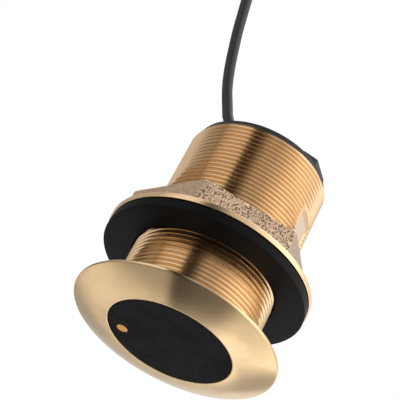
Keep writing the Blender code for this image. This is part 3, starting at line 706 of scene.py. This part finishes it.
def stage_world():
    """A studio as a function of direction: its azimuth in degrees gives the brightness of a left box, a right
    box and the room behind, with a narrow dark gap between the boxes in front. Its height z darkens and
    brightens them, and two flags darken a part of what is below. The camera itself sees plain white."""
    world = bpy.data.worlds.new("studio")
    bpy.context.scene.world = world
    world.use_nodes = True
    world.node_tree.nodes.clear()
    nodes = Nodes(world.node_tree)
    direction = nodes.node("ShaderNodeTexCoord").outputs["Generated"]
    split = nodes.node("ShaderNodeSeparateXYZ")
    nodes.put(split.inputs[0], direction)
    x, y, z = split.outputs[:3]
    azimuth = nodes.times(nodes.math("ARCTAN2", y, x), 180 / math.pi)
    # The left box from -180 to about -126 degrees, dimmer at its far end
    left = nodes.times(nodes.range(azimuth, -124.0, -128.0),
                       nodes.range(azimuth, -180.0, -150.0, 0.50, 1.0), 0.98)
    # The right box from about -101 to 7 degrees, brighter towards its right end
    right = nodes.times(nodes.range(azimuth, -112.0, -90.0), nodes.range(azimuth, 25.0, -10.0),
                        nodes.range(azimuth, -85.0, -20.0, 0.62, 1.75))
    # The room behind, brighter near the right box, and brighter below as far as about 140 degrees
    behind = nodes.range(azimuth, -10.0, 25.0)
    below = nodes.times(nodes.range(z, -0.15, -0.50), nodes.range(azimuth, 160.0, 125.0))
    above = nodes.range(azimuth, 105.0, 70.0, 0.48, 1.00)
    room = nodes.math("ADD", above, nodes.times(below, nodes.math("SUBTRACT", 0.95, above)))
    light = nodes.math("ADD", nodes.math("ADD", left, right), nodes.times(behind, room))
    # Dimmer straight below, brighter overhead, and black nowhere
    light = nodes.dimmed(light, nodes.range(z, -0.55, -0.95), 0.55)
    light = nodes.math("ADD", light, nodes.times(nodes.range(z, 0.75, 0.95), 0.7))
    light = nodes.math("ADD", light, 0.035)
    # Under the part: a flag with one sharp edge, more light past its soft edge, and a small second flag
    turn = nodes.math("DIVIDE", x, nodes.math("SUBTRACT", 0.95, y))
    deep = nodes.range(z, -0.35, -0.50)
    flag = nodes.times(nodes.range(turn, -0.27, -0.23), nodes.range(turn, 0.50, 0.25),
                       nodes.range(turn, -0.23, 0.15, 0.90, 0.55))
    light = nodes.dimmed(light, flag, deep)
    past_flag = nodes.times(nodes.range(turn, 0.35, 0.60), deep)
    light = nodes.times(light, nodes.math("ADD", 1.0, nodes.times(past_flag, 0.70)))
    small = nodes.times(nodes.range(azimuth, 84.0, 76.0), nodes.range(azimuth, 55.0, 64.0),
                        nodes.range(z, -0.10, -0.22), nodes.range(z, -0.55, -0.45))
    light = nodes.dimmed(light, small, 0.45)
    shades = []
    for strength in (light, 1.0):
        shade = nodes.node("ShaderNodeBackground")
        nodes.put(shade.inputs["Color"], (1.0, 1.0, 1.0))
        nodes.put(shade.inputs["Strength"], strength)
        shades.append(shade.outputs[0])
    camera_ray = nodes.node("ShaderNodeLightPath").outputs["Is Camera Ray"]
    seen = nodes.mix_shaders(camera_ray, *shades)
    nodes.put(nodes.node("ShaderNodeOutputWorld").inputs["Surface"], seen)


def stage_floor():
    """A pale floor under the part. It is seen only from above, so that the camera below it sees the part."""
    look, nodes = new_look("floor_paint", (0.86, 0.86, 0.86), 0.8, 0.0, 0.2)
    mottle = nodes.noise(nodes.object_place(), 6.0, 3.0)
    nodes.surface(nodes.mix(mottle, (0.84, 0.84, 0.84), (0.88, 0.88, 0.88)))
    under = nodes.node("ShaderNodeNewGeometry").outputs["Backfacing"]
    seen = nodes.node("ShaderNodeLightPath").outputs["Is Camera Ray"]
    hidden = nodes.dimmed(1.0, seen, nodes.math("SUBTRACT", 1.0, under))
    clear = nodes.node("ShaderNodeBsdfTransparent")
    surface = nodes.mix_shaders(hidden, nodes.shader.outputs[0], clear.outputs[0])
    nodes.put(nodes.out.inputs["Surface"], surface)
    reach = 3.0
    height = -0.0002
    mesh = bpy.data.meshes.new("studio_floor")
    corners = [(reach * x, reach * y, height) for x, y in ((-1, -1), (1, -1), (1, 1), (-1, 1))]
    mesh.from_pydata(corners, [], [(0, 1, 2, 3)])
    mesh.materials.append(look)
    floor = bpy.data.objects.new("studio_floor", mesh)
    bpy.context.scene.collection.objects.link(floor)


# Pieces


def coil_places(spacing):
    """Places of the turns in the coil's section, (outwards, up), in winding order: 28 on a triangular lattice
    in rows of 3, 4, 5, 4, 5, 4 and 3, each next to the one before, from the outer middle by the bottom to the
    top."""
    order = (
        (1.5, 0), (2, -1), (1.5, -2), (1, -3), (0, -3), (-1, -3), (-1.5, -2), (-0.5, -2), (0.5, -2), (1, -1),
        (0, -1), (-1, -1), (-2, -1), (-1.5, 0), (-2, 1), (-1, 1), (-0.5, 0), (0, 1), (0.5, 0), (1, 1), (2, 1),
        (1.5, 2), (0.5, 2), (-0.5, 2), (-1.5, 2), (-1, 3), (0, 3), (1, 3),
    )
    return np.array(order, float) * [spacing, spacing * math.sqrt(0.75)]


def cable_path(spacing, radius):
    """The cable's centre line: the arch through the route's points, then the turns of the coil, whose place
    in the section moves smoothly to the next place once in each turn, then the tail to the plug."""
    start = np.array(CABLE_START)
    centre = np.array(COIL_CENTRE)
    reach = COIL_SECTION + radius + GAP
    entry = centre + [0.0, -COIL_RADIUS - reach, COIL_HEIGHT]
    rise = start + [0.0, 0.0, STRAIGHT_END]
    before = entry + [STRAIGHT_END, 0.0, 0.0]
    arch = np.vstack([start[None], smooth_through([rise, *CABLE_ROUTE, before])])
    places = coil_places(spacing)
    # Turning angle in degrees, and the place in the section at each
    knots = [(0.0, reach, 0.0), (ENTRY_STRETCH, *places[0])]
    for number, (old, new) in enumerate(zip(places, places[1:])):
        middle = 360.0 * number + CHANGE_MIDDLE
        knots += [(middle - CHANGE_HALF, *old), (middle + CHANGE_HALF, *new)]
    end = 360.0 * (len(places) - 1) + LEAVING_ANGLE
    knots += [(end - LEAVING_STRETCH, *places[-1]), (end, 0.0, reach)]
    knots = np.array(knots)
    turn = np.arange(0.0, end + 0.01, TURN_STEP)
    span = np.clip(np.searchsorted(knots[:, 0], turn, side="right") - 1, 0, len(knots) - 2)
    share = (turn - knots[span, 0]) / (knots[span + 1, 0] - knots[span, 0])
    share = s_curve(share)[:, None]
    place = knots[span, 1:] * (1 - share) + knots[span + 1, 1:] * share
    angle = np.radians(-90.0 - turn)
    out = COIL_RADIUS + place[:, 0]
    coil = centre + about_axis(out, angle, COIL_HEIGHT + place[:, 1])
    leaving = centre + [-COIL_RADIUS, 0.0, COIL_HEIGHT + reach]
    last = np.array(PLUG_START) - [GAP, 0.0, 0.0]
    run_in = last - [STRAIGHT_END, 0.0, 0.0]
    middle = [leaving + np.array(point) for point in TAIL_ROUTE]
    tail = np.vstack([smooth_through([leaving, *middle, run_in]), last])
    return np.vstack([even(arch, POINT_SPACING)[:-1], coil[:-1], even(tail, POINT_SPACING)])


def make_cable(sizes):
    path = cable_path(sizes.turn_spacing, sizes.cable_radius)
    length = float(steps_along(path).sum())
    made = tube("signal_cable", path, sizes.cable_radius)
    look = jacket(tuple(sizes.jacket_colour))
    cable = finished(made, "transducer", look, "cable", "cable_coil", "cable_tail", slot="jacket")
    return cable, path, length


def make_ties():
    """Straps round the coil: a flat rounded band, carried round a circle that stands across the coil."""
    look = woven_strap((0.045, 0.045, 0.05))
    inner = COIL_SECTION + GAP
    outer = inner + TIE_THICKNESS
    half = TIE_WIDTH / 2
    corners = [(inner, 0.0), (inner, half), (outer, half), (outer, -half), (inner, -half), (inner, 0.0)]
    section = rounded(corners, TIE_EDGE)[:-1]
    lengths = np.concatenate([[0.0], np.cumsum(steps_along(section))])
    columns = 96
    angle = full_turn(columns)
    across = spread(section[:, 1], columns)
    # In the strap's own plane: out from the coil's middle, and up
    out = COIL_RADIUS + section[:, :1] * np.cos(angle)
    up = COIL_HEIGHT + section[:, :1] * np.sin(angle)
    made = []
    for number, degrees in enumerate(TIE_ANGLES):
        turn = math.radians(degrees)
        x = out * math.cos(turn) - across * math.sin(turn)
        y = out * math.sin(turn) + across * math.cos(turn)
        points = np.stack([x, y, up], axis=-1) + np.array(COIL_CENTRE)
        band = skin(f"tie_strap_{number + 1}", points, section=True, lengths=lengths)
        made.append(finished(band, "transducer", look, f"coil_tie_{number + 1}", slot="strap"))
    return made


def along_plug(points):
    """Turns a shape made about +Z so that its axis is the plug's, which points along +X."""
    x, y, z = points[..., 0], points[..., 1], points[..., 2]
    return np.stack([z, y, -x], axis=-1) + np.array(PLUG_START)


def make_boot():
    """Boot: a taper with four soft grooves, each a raised cosine, that rises to a straight seat."""
    taper_end = 0.6 * BOOT_LENGTH
    edge = 0.0004
    z = np.linspace(0.0, 0.7 * BOOT_LENGTH, 60)
    taper = BOOT_TIP + (BODY_RADIUS - BOOT_TIP) * 0.8 * (z / taper_end).clip(0, 1)
    groove = BOOT_GROOVE * raised_cosine(z, 0.15 * BOOT_LENGTH)
    rise = ((z - taper_end) / (0.1 * BOOT_LENGTH)).clip(0, 1)
    flank = np.where(z < taper_end, taper - groove, taper)
    flank = np.where(z > taper_end, taper + (BODY_RADIUS - taper) * rise, flank)
    tip = [(0.0, 0.0), (BOOT_TIP - 0.0003, 0.0)]
    seat = [(BODY_RADIUS, BOOT_LENGTH - edge), (BODY_RADIUS - edge, BOOT_LENGTH), (0.0, BOOT_LENGTH)]
    profile = np.vstack([tip, np.stack([flank, z], axis=-1), seat])
    rubber = plain_finish("boot_rubber", (0.022, 0.022, 0.024), 0.55, 1800.0)
    return finished(skin("cable_boot", along_plug(revolved(profile, 72)), merge=1e-7), "transducer", rubber,
                    "plug_boot", slot="rubber")


def make_shell(nylon, start, shoulder):
    """The plug's body: its rounded profile with one shoulder, turned about the plug's axis."""
    top = start + BODY_LENGTH
    shoulder_top = shoulder + SHOULDER_WIDTH
    inside = (BODY_BORE, start + 0.001)
    corners = [inside, (BODY_BORE, top), (NOSE_RADIUS, top), (NOSE_RADIUS, shoulder_top),
               (SHOULDER_RADIUS, shoulder_top), (SHOULDER_RADIUS, shoulder), (BODY_RADIUS, shoulder),
               (BODY_RADIUS, start), (BODY_BORE, start), inside]
    profile = rounded(corners, 0.0003)[:-1]
    return finished(skin("plug_shell", along_plug(revolved(profile, 96)), section=True), "transducer", nylon,
                    "plug_body", slot="nylon")


def make_ring(nylon, shoulder, grips):
    """The coupling ring: its rounded profile turned about the plug's axis, with grip grooves."""
    lip = shoulder - GAP - COLLAR_LIP
    end = lip + COLLAR_LENGTH
    wide = SHOULDER_RADIUS + 2 * GAP
    throat = BODY_RADIUS + 2 * GAP
    middle = (wide, lip + 0.0100)
    corners = [middle, (wide, end), (COLLAR_RADIUS, end), (COLLAR_RADIUS, lip), (throat, lip),
               (throat, lip + COLLAR_LIP), (wide, lip + COLLAR_LIP), middle]
    profile = rounded(corners, 0.0005, 5)[:-1]

    def gripped(r, z, angle):
        """Grooves in the outer side: the radius drops by the positive part of a cosine, to the power of 1.5,
        and less towards the ring's two ends."""
        wave = np.maximum(0.0, np.cos(angle * grips)) ** 1.5
        low_fade = np.clip((z - lip - GRIP_END) / GRIP_FADE, 0, 1)
        high_fade = np.clip((end - GRIP_END - z) / GRIP_FADE, 0, 1)
        return r - GRIP_DEPTH * wave * (low_fade * high_fade) * (r > COLLAR_SKIN)

    # The outer side has rows close enough to follow the grooves' ends
    row_spacing = 0.0006
    dense = []
    for (r0, z0), (r1, z1) in zip(profile, profile[1:]):
        count = max(1, int(abs(z1 - z0) / row_spacing)) if min(r0, r1) > COLLAR_SKIN else 1
        t = np.arange(count)[:, None] / count
        dense.append(np.array([[r0, z0]]) * (1 - t) + np.array([[r1, z1]]) * t)
    profile = np.vstack([*dense, profile[-1:]])
    points = along_plug(revolved(profile, 168, gripped))
    return finished(skin("coupling_ring", points, section=True), "plug_ring", nylon, "plug_collar",
                    slot="nylon")


def make_plug(sizes):
    nylon = plain_finish("plug_nylon", (0.032, 0.032, 0.034), 0.42, 1200.0)
    start = BOOT_LENGTH + GAP
    shoulder = start + SHOULDER_PLACE
    return make_boot(), make_shell(nylon, start, shoulder), make_ring(nylon, shoulder, sizes.collar_grips)


def channel_limit(angle, height):
    """Largest radius that the cast channel leaves: a flat floor across the channel's direction, sides that
    curve up in a quarter circle, and an upper end that scoops out in one. How far across a point lies and how
    deep the channel is there depend on each other, so they are worked out in turn a few times."""
    away = (angle - CHANNEL_ANGLE + math.pi) % math.tau - math.pi
    near = np.abs(away) < CHANNEL_REACH
    slope = np.tan(np.where(near, away, 0.0))
    rise = np.clip(height - (CHANNEL_TOP - CHANNEL_SCOOP), 0.0, CHANNEL_SCOOP)
    end = CHANNEL_SCOOP - np.sqrt(np.maximum(CHANNEL_SCOOP ** 2 - rise ** 2, 0.0))
    across = np.abs(CHANNEL_FLOOR * slope)
    for _ in range(4):
        past = np.clip(across - (CHANNEL_HALF - CHANNEL_FILLET), 0.0, CHANNEL_FILLET)
        wall = CHANNEL_FILLET - np.sqrt(np.maximum(CHANNEL_FILLET ** 2 - past ** 2, 0.0))
        depth = CHANNEL_FLOOR + np.maximum(end, wall) + 0.25 * np.minimum(end, wall)
        across = np.abs(depth * slope)
    inside = near & (height > CHANNEL_BOTTOM) & (height < CHANNEL_TOP) & (across < CHANNEL_HALF)
    no_limit = 1.0
    limit = np.where(inside, depth * np.sqrt(1 + slope ** 2), no_limit)
    flat = inside & (across < CHANNEL_HALF - CHANNEL_FILLET + CHANNEL_SKIN_SIDE) & (end < CHANNEL_SKIN_END)
    return limit, flat


def thread_rows(sizes, angle, low, high):
    """Rows of the threaded stretch: a row keeps its place on the thread's profile and climbs one pitch in a
    turn, so height = low - pitch + pitch (row + turn), held between the ends; the radius is the least of the
    thread's crest and root profile, the chamfers at both ends and the channel."""
    pitch = sizes.thread_pitch
    crest = sizes.stem_radius
    root = crest - sizes.thread_depth
    flank = [crest - (place - CREST_HALF) / FLANK_WIDTH * sizes.thread_depth for place in FLANK_PLACES]
    # The profile from the crest's middle to the root's middle, and the same back to the next crest
    places = [0.0, CREST_HALF, *FLANK_PLACES, CREST_HALF + FLANK_WIDTH]
    levels = [crest, crest, *flank, root]
    phases = np.array([*places, 0.5, *(1 - place for place in places[:0:-1])])
    levels = np.array([*levels, root - ROOT_HOLLOW, *levels[:0:-1]])
    turns = math.ceil((high - low) / pitch) + 1
    phase = (np.arange(turns)[:, None] + phases[None, :]).ravel()
    level = np.tile(levels, turns)
    share = (angle - angle[0]) / math.tau
    height = np.clip(low - pitch + pitch * (phase[:, None] + share[None, :]), low, high)
    chamfer = crest - STEM_CHAMFER
    envelope = np.minimum(chamfer + (height - low), chamfer + (high - height))
    limit, flat = channel_limit(angle[None, :], height)
    radius = np.minimum(np.minimum(level[:, None], envelope), limit)
    cast = flat & (radius >= limit - 1e-7)
    return radius, height, cast


def make_housing(sizes):
    """Housing: the thread's rows, then a plain profile turned about the axis: down the bores, out over the
    face, whose height is a straight rise less a parabola's bulge, and up the flange's back to the thread."""
    fine = np.radians(np.arange(-FINE_REACH, FINE_REACH + 0.01, FINE_STEP))
    coarse = np.radians(np.linspace(FINE_REACH, 360.0 - FINE_REACH, COARSE_COLUMNS)[1:-1])
    angle = CHANNEL_ANGLE + np.concatenate([coarse - math.tau, fine])
    angle = np.append(angle, angle[0] + math.tau)
    radius, height, cast = thread_rows(sizes, angle, THREAD_BOTTOM, STEM_TOP)
    lip = WINDOW_BORE + LIP_WIDTH
    share = np.linspace(0.0, 1.0, 28)
    face_height = FACE_RISE * share - 4 * FACE_BULGE * share * (1 - share)
    face = np.stack([lip + (FLANGE_RADIUS - lip) * share, face_height], axis=-1)
    bores = [(CHAMFER_RADIUS, STEM_TOP), (STEM_BORE, STEM_TOP), (STEM_BORE, WINDOW_BORE_TOP + BORE_STEP),
             (WINDOW_BORE, WINDOW_BORE_TOP), (WINDOW_BORE, 0.0), (lip, 0.0)]
    flange = [face[-2], face[-1], (FLANGE_RADIUS, FLANGE_BACK), (RELIEF_RADIUS, FLANGE_BACK),
              (RELIEF_RADIUS, THREAD_BOTTOM)]
    rest = np.vstack([rounded(bores, 0.0003, 3)[1:-1], face[:-1], rounded(flange, 0.00035)[1:-1]])
    radius = np.vstack([radius, spread(rest[:, 0], len(angle))])
    height = np.vstack([height, spread(rest[:, 1], len(angle))])
    cast = np.vstack([cast, np.zeros((len(rest), len(angle)), bool)])
    points = about_axis(radius, angle, height)
    made = skin("bronze_housing", points, around=False, section=True, merge=2e-6, sharp=32.0,
                marks=[("cast_skin", cast)])
    look = bronze_turned(tuple(sizes.bronze_colour))
    piece = finished(made, "transducer", look, "housing", slot="bronze")
    piece.data.materials.append(bronze_face(tuple(sizes.face_colour)))
    centres = np.empty(len(piece.data.polygons) * 3, np.float32)
    piece.data.polygons.foreach_get("center", centres)
    centres = centres.reshape(-1, 3)
    out = np.hypot(centres[:, 0], centres[:, 1])
    on_face = (centres[:, 2] < FLANGE_BACK + 0.0001) & (out > WINDOW_BORE - 0.0002)
    piece.data.polygons.foreach_set("material_index", on_face.astype(np.int32))
    return piece


def value_noise(shape, cells, seed):
    """Smooth noise on a grid that joins round in the second direction: random numbers on a coarse lattice,
    blended between its points with an S-shaped weight."""
    random = np.random.default_rng(seed).random((cells[0] + 1, cells[1]))
    row = np.linspace(0, cells[0] - 1e-6, shape[0])
    column = np.arange(shape[1]) * cells[1] / shape[1]
    r0, c0 = row.astype(int), column.astype(int)
    r, c = row - r0, column - c0
    r, c = s_curve(r)[:, None], s_curve(c)[None, :]
    c1 = (c0 + 1) % cells[1]
    top = random[r0][:, c0] * (1 - c) + random[r0][:, c1] * c
    below = random[r0 + 1][:, c0] * (1 - c) + random[r0 + 1][:, c1] * c
    return top * (1 - r) + below * r


def make_nut(sizes):
    """Hull nut: a turned band under a sand-cast hexagon. The hexagon's radius at an angle is its apothem over
    the cosine of the angle from the nearest flat's middle, softened at the corners, less the pits of the
    casting, which are deeper on some flats."""
    columns = 720
    side_rows = 46
    edge_rows = 6
    top_rows = 8
    angle = full_turn(columns)
    sixth = math.pi / 3
    from_flat = (angle - NUT_CORNER_ANGLE) % sixth - math.pi / 6
    hexagon = NUT_CORNER * math.cos(math.pi / 6) / np.cos(from_flat)
    power = NUT_CORNER_POWER
    hexagon = (hexagon ** -power + NUT_CORNER_LIMIT ** -power) ** (-1 / power)
    band = rounded([(NUT_BORE + 0.001, NUT_BOTTOM), (NUT_BAND_RADIUS, NUT_BOTTOM),
                    (NUT_BAND_RADIUS, NUT_BAND_TOP), (NUT_BAND_INNER, NUT_BAND_TOP)], 0.0003)
    edge = np.linspace(0.2, math.pi / 2, edge_rows)
    edge_z = NUT_TOP - NUT_TOP_EDGE * (1 - np.sin(edge))
    side_z = np.concatenate([np.linspace(NUT_BAND_TOP + 0.0004, NUT_TOP - NUT_TOP_EDGE, side_rows), edge_z])
    side_in = np.concatenate([np.zeros(side_rows), NUT_TOP_EDGE * (1 - np.cos(edge))])
    # Each flat's share of the pits; the material also reads it to paint shade on the flats where it is small
    pits_and_shade = np.array(NUT_FLAT_PITS_AND_SHADE)[((angle - NUT_CORNER_ANGLE) // sixth).astype(int) % 6]
    grid = (len(side_z), columns)
    coarse_pits = value_noise(grid, (11, 190), seed=3)
    fine_pits = value_noise(grid, (22, 380), seed=4)
    noise = 0.6 * coarse_pits + 0.4 * fine_pits
    side = hexagon[None, :] - side_in[:, None] - sizes.cast_depth * (0.3 + 1.2 * pits_and_shade[None, :]) * noise
    flare, foot_rise = np.array(NUT_FOOT).T
    foot = hexagon[None, :] * np.ones((3, 1)) + flare[:, None]
    mouth = NUT_BORE + NUT_BORE_CHAMFER
    share = np.linspace(0.0, 1.0, top_rows + 1)[1:, None]
    top_radius = side[-1][None, :] * (1 - share) + mouth * share
    bore = np.array([[NUT_BORE, NUT_TOP - NUT_BORE_EDGE], [NUT_BORE, NUT_BOTTOM + NUT_BORE_EDGE],
                     [mouth, NUT_BOTTOM]])
    radius = np.vstack([spread(band[:, 0], columns), foot, side, top_radius, spread(bore[:, 0], columns)])
    height = np.concatenate([band[:, 1], NUT_BAND_TOP + foot_rise, side_z, np.full(top_rows, NUT_TOP),
                             bore[:, 1]])
    # The cast skin begins above the band and ends before the top's last two rows
    cast = np.zeros_like(radius)
    cast[len(band):len(band) + len(foot) + len(side_z) + top_rows - 2] = 1.0
    points = about_axis(radius, angle, spread(height, columns))
    marks = [("cast_skin", cast), ("pits_and_shade", np.repeat(pits_and_shade[None, :], len(radius), axis=0))]
    made = skin("bronze_nut", points, section=True, sharp=40.0, marks=marks)
    look = bronze_cast(tuple(sizes.bronze_colour), tuple(sizes.cast_colour))
    return finished(made, "nut", look, "hull_nut", slot="bronze")


def make_washer():
    inside = (WASHER_BORE, WASHER_BOTTOM + 0.002)
    corners = [inside, (WASHER_BORE, WASHER_TOP), (WASHER_RADIUS, WASHER_TOP), (WASHER_RADIUS, WASHER_BOTTOM),
               (WASHER_BORE, WASHER_BOTTOM), inside]
    profile = rounded(corners, 0.0004, 5)[:-1]
    look = plain_finish("washer_rubber", (0.0052, 0.0048, 0.0056), 0.50, 1500.0, depth=0.00003, specular=0.08)
    made = skin("sealing_washer", revolved(profile, 240), section=True)
    return finished(made, "washer", look, "nut_washer", slot="rubber")


def make_gland():
    """Cable gland: a short rubber cone on the cap, with three soft grooves that are raised cosines, and its
    neck and bead inside."""
    foot = CAP_TOP + GAP
    under = CAP_TOP - CAP_PLATE - GAP
    bead_bottom = under - GLAND_BEAD_THICKNESS
    z = np.linspace(0.0, GLAND_HEIGHT, 40)
    r = GLAND_COLLAR + (GLAND_TIP - GLAND_COLLAR) * z / GLAND_HEIGHT
    r = r - GLAND_GROOVE * raised_cosine(z, GLAND_GROOVE_PITCH)
    cone = np.stack([r, foot + z * (GLAND_HEIGHT - GAP) / GLAND_HEIGHT], axis=-1)
    inside = [(0.0, bead_bottom), (GLAND_BEAD, bead_bottom), (GLAND_BEAD, under), (GLAND_NECK, under),
              (GLAND_NECK, foot), (GLAND_COLLAR_EDGE, foot)]
    profile = np.vstack([inside, cone, [(0.0, CAP_TOP + GLAND_HEIGHT)]])
    points = revolved(profile, 64) + np.array([CABLE_START[0], CABLE_START[1], 0.0])
    look = plain_finish("gland_rubber", (0.022, 0.022, 0.024), 0.55, 1800.0)
    return finished(skin("gland_cone", points, merge=1e-7), "transducer", look, "cable_gland", slot="rubber")


def dress(node, look):
    """Gives a solid that stays as it is a better material."""
    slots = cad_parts[node].material_slots
    if not slots:
        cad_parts[node].data.materials.append(look)
    for place in slots:
        place.material = look


# Finishes of the pieces inside: node, material, colour, roughness, scale of the grain, and other settings
INSIDE_FINISHES = (
    ("isolation_cup", "cup_cork", (0.42, 0.27, 0.15), 0.85, 500.0, {"depth": 0.0003, "change": 0.45}),
    ("backing_pad", "pad_felt", (0.30, 0.30, 0.28), 0.95, 3000.0, {"depth": 0.0002}),
    ("piezo_disc", "element_ceramic", (0.72, 0.70, 0.62), 0.45, 2500.0, {"change": 0.06}),
    ("resin_fill", "potting_resin", (0.10, 0.09, 0.06), 0.25, 400.0, {"change": 0.3}),
    ("thermistor", "bead_epoxy", (0.05, 0.05, 0.12), 0.3, 3000.0, {}),
    ("circuit_board", "board_laminate", (0.03, 0.18, 0.07), 0.4, 900.0, {"change": 0.35}),
    ("id_chip", "chip_package", (0.02, 0.02, 0.02), 0.5, 4000.0, {}),
    ("transformer_core", "core_ferrite", (0.10, 0.09, 0.09), 0.65, 2500.0, {}),
)
PINS = tuple(f"plug_pin_{number}" for number in range(1, 6))
CONDUCTORS = tuple(f"cable_conductor_{number}" for number in range(1, 5))


class TransducerStep:
    bl_options = {"REGISTER", "UNDO"}


class TRANSDUCER_OT_stage(TransducerStep, bpy.types.Operator):
    """Sets the camera, the studio light and the floor"""
    bl_idname = "transducer.stage"
    bl_label = "Stage"

    def execute(self, context):
        stage_camera()
        stage_world()
        stage_floor()
        context.scene.view_settings.view_transform = "Standard"
        return {"FINISHED"}


class TRANSDUCER_OT_cord(TransducerStep, bpy.types.Operator):
    """Lays the cable from the gland over its arch, through the tied coil and into its plug"""
    bl_idname = "transducer.cord"
    bl_label = "Cable, coil and plug"

    def execute(self, context):
        sizes = context.scene.transducer
        cable, path, length = make_cable(sizes)
        ties = make_ties()
        boot, body, ring = make_plug(sizes)
        dress("plug_insert", plain_finish("insert_plastic", (0.10, 0.10, 0.10), 0.45, 900.0))
        dress("plug_seal", plain_finish("seal_rubber", (0.02, 0.02, 0.02), 0.5, 1500.0))
        gilt = plain_finish("pin_gilt", (0.90, 0.68, 0.28), 0.22, 2500.0, 1.0, depth=0.00001, change=0.06)
        for name in PINS:
            dress(name, gilt)
        return {"FINISHED"}


class TRANSDUCER_OT_housing(TransducerStep, bpy.types.Operator):
    """Makes the bronze housing with its thread and cast channel"""
    bl_idname = "transducer.housing"
    bl_label = "Housing"

    def execute(self, context):
        make_housing(context.scene.transducer)
        return {"FINISHED"}


class TRANSDUCER_OT_nut(TransducerStep, bpy.types.Operator):
    """Makes the hull nut and the washer under it"""
    bl_idname = "transducer.nut"
    bl_label = "Hull nut and washer"

    def execute(self, context):
        make_nut(context.scene.transducer)
        make_washer()
        return {"FINISHED"}


class TRANSDUCER_OT_window(TransducerStep, bpy.types.Operator):
    """Finishes the acoustic window and the temperature probe"""
    bl_idname = "transducer.window"
    bl_label = "Acoustic window and probe"

    def execute(self, context):
        dress("acoustic_window", face_window())
        brass = plain_finish("probe_brass", (0.72, 0.36, 0.09), 0.38, 2500.0, 1.0, depth=0.00002, change=0.10)
        dress("temperature_probe", brass)
        return {"FINISHED"}


class TRANSDUCER_OT_cap(TransducerStep, bpy.types.Operator):
    """Finishes the top cap and makes the cable's gland"""
    bl_idname = "transducer.cap"
    bl_label = "Cap and gland"

    def execute(self, context):
        dress("top_cap", plain_finish("cap_plastic", (0.022, 0.022, 0.025), 0.42, 1200.0, depth=0.00003,
                                      specular=0.35))
        dress("cap_seal", plain_finish("ring_rubber", (0.02, 0.02, 0.02), 0.45, 1500.0))
        make_gland()
        return {"FINISHED"}


class TRANSDUCER_OT_inside(TransducerStep, bpy.types.Operator):
    """Finishes the pieces inside: element, cup, resin, board and wires"""
    bl_idname = "transducer.inside"
    bl_label = "Pieces inside"

    def execute(self, context):
        for node, name, colour, roughness, grain, settings in INSIDE_FINISHES:
            dress(node, plain_finish(name, colour, roughness, grain, **settings))
        dress("transformer_winding", wound("winding_copper", (0.72, 0.32, 0.15)))
        red = plain_finish("lead_red", (0.45, 0.03, 0.02), 0.45, 2000.0)
        black = plain_finish("lead_black", (0.02, 0.02, 0.02), 0.45, 2000.0)
        for name in ("thermistor_lead_1", "thermistor_lead_2", "element_lead_positive"):
            dress(name, red)
        for name in ("element_lead_negative", *CONDUCTORS):
            dress(name, black)
        return {"FINISHED"}


class TRANSDUCER_PT_panel(bpy.types.Panel):
    """Lists the steps that build the transducer's looks"""
    bl_idname = "TRANSDUCER_PT_panel"
    bl_label = "Transducer"
    bl_space_type = "VIEW_3D"
    bl_region_type = "UI"
    bl_category = "Transducer"

    def draw(self, context):
        sizes = context.scene.transducer
        for name in TransducerSizes.__annotations__:
            self.layout.prop(sizes, name)
        for step in STEPS:
            self.layout.operator(step.bl_idname)


STEPS = (
    TRANSDUCER_OT_stage, TRANSDUCER_OT_cord, TRANSDUCER_OT_housing, TRANSDUCER_OT_nut, TRANSDUCER_OT_window,
    TRANSDUCER_OT_cap, TRANSDUCER_OT_inside,
)
CLASSES = (TransducerSizes, *STEPS, TRANSDUCER_PT_panel)


def register():
    for item in CLASSES:
        bpy.utils.register_class(item)
    bpy.types.Scene.transducer = PointerProperty(type=TransducerSizes)


def unregister():
    del bpy.types.Scene.transducer
    for item in reversed(CLASSES):
        bpy.utils.unregister_class(item)


def main():
    register()
    bpy.ops.transducer.stage()
    bpy.ops.transducer.cord()
    bpy.ops.transducer.housing()
    bpy.ops.transducer.nut()
    bpy.ops.transducer.window()
    bpy.ops.transducer.cap()
    bpy.ops.transducer.inside()


if __name__ == "__main__":
    main()
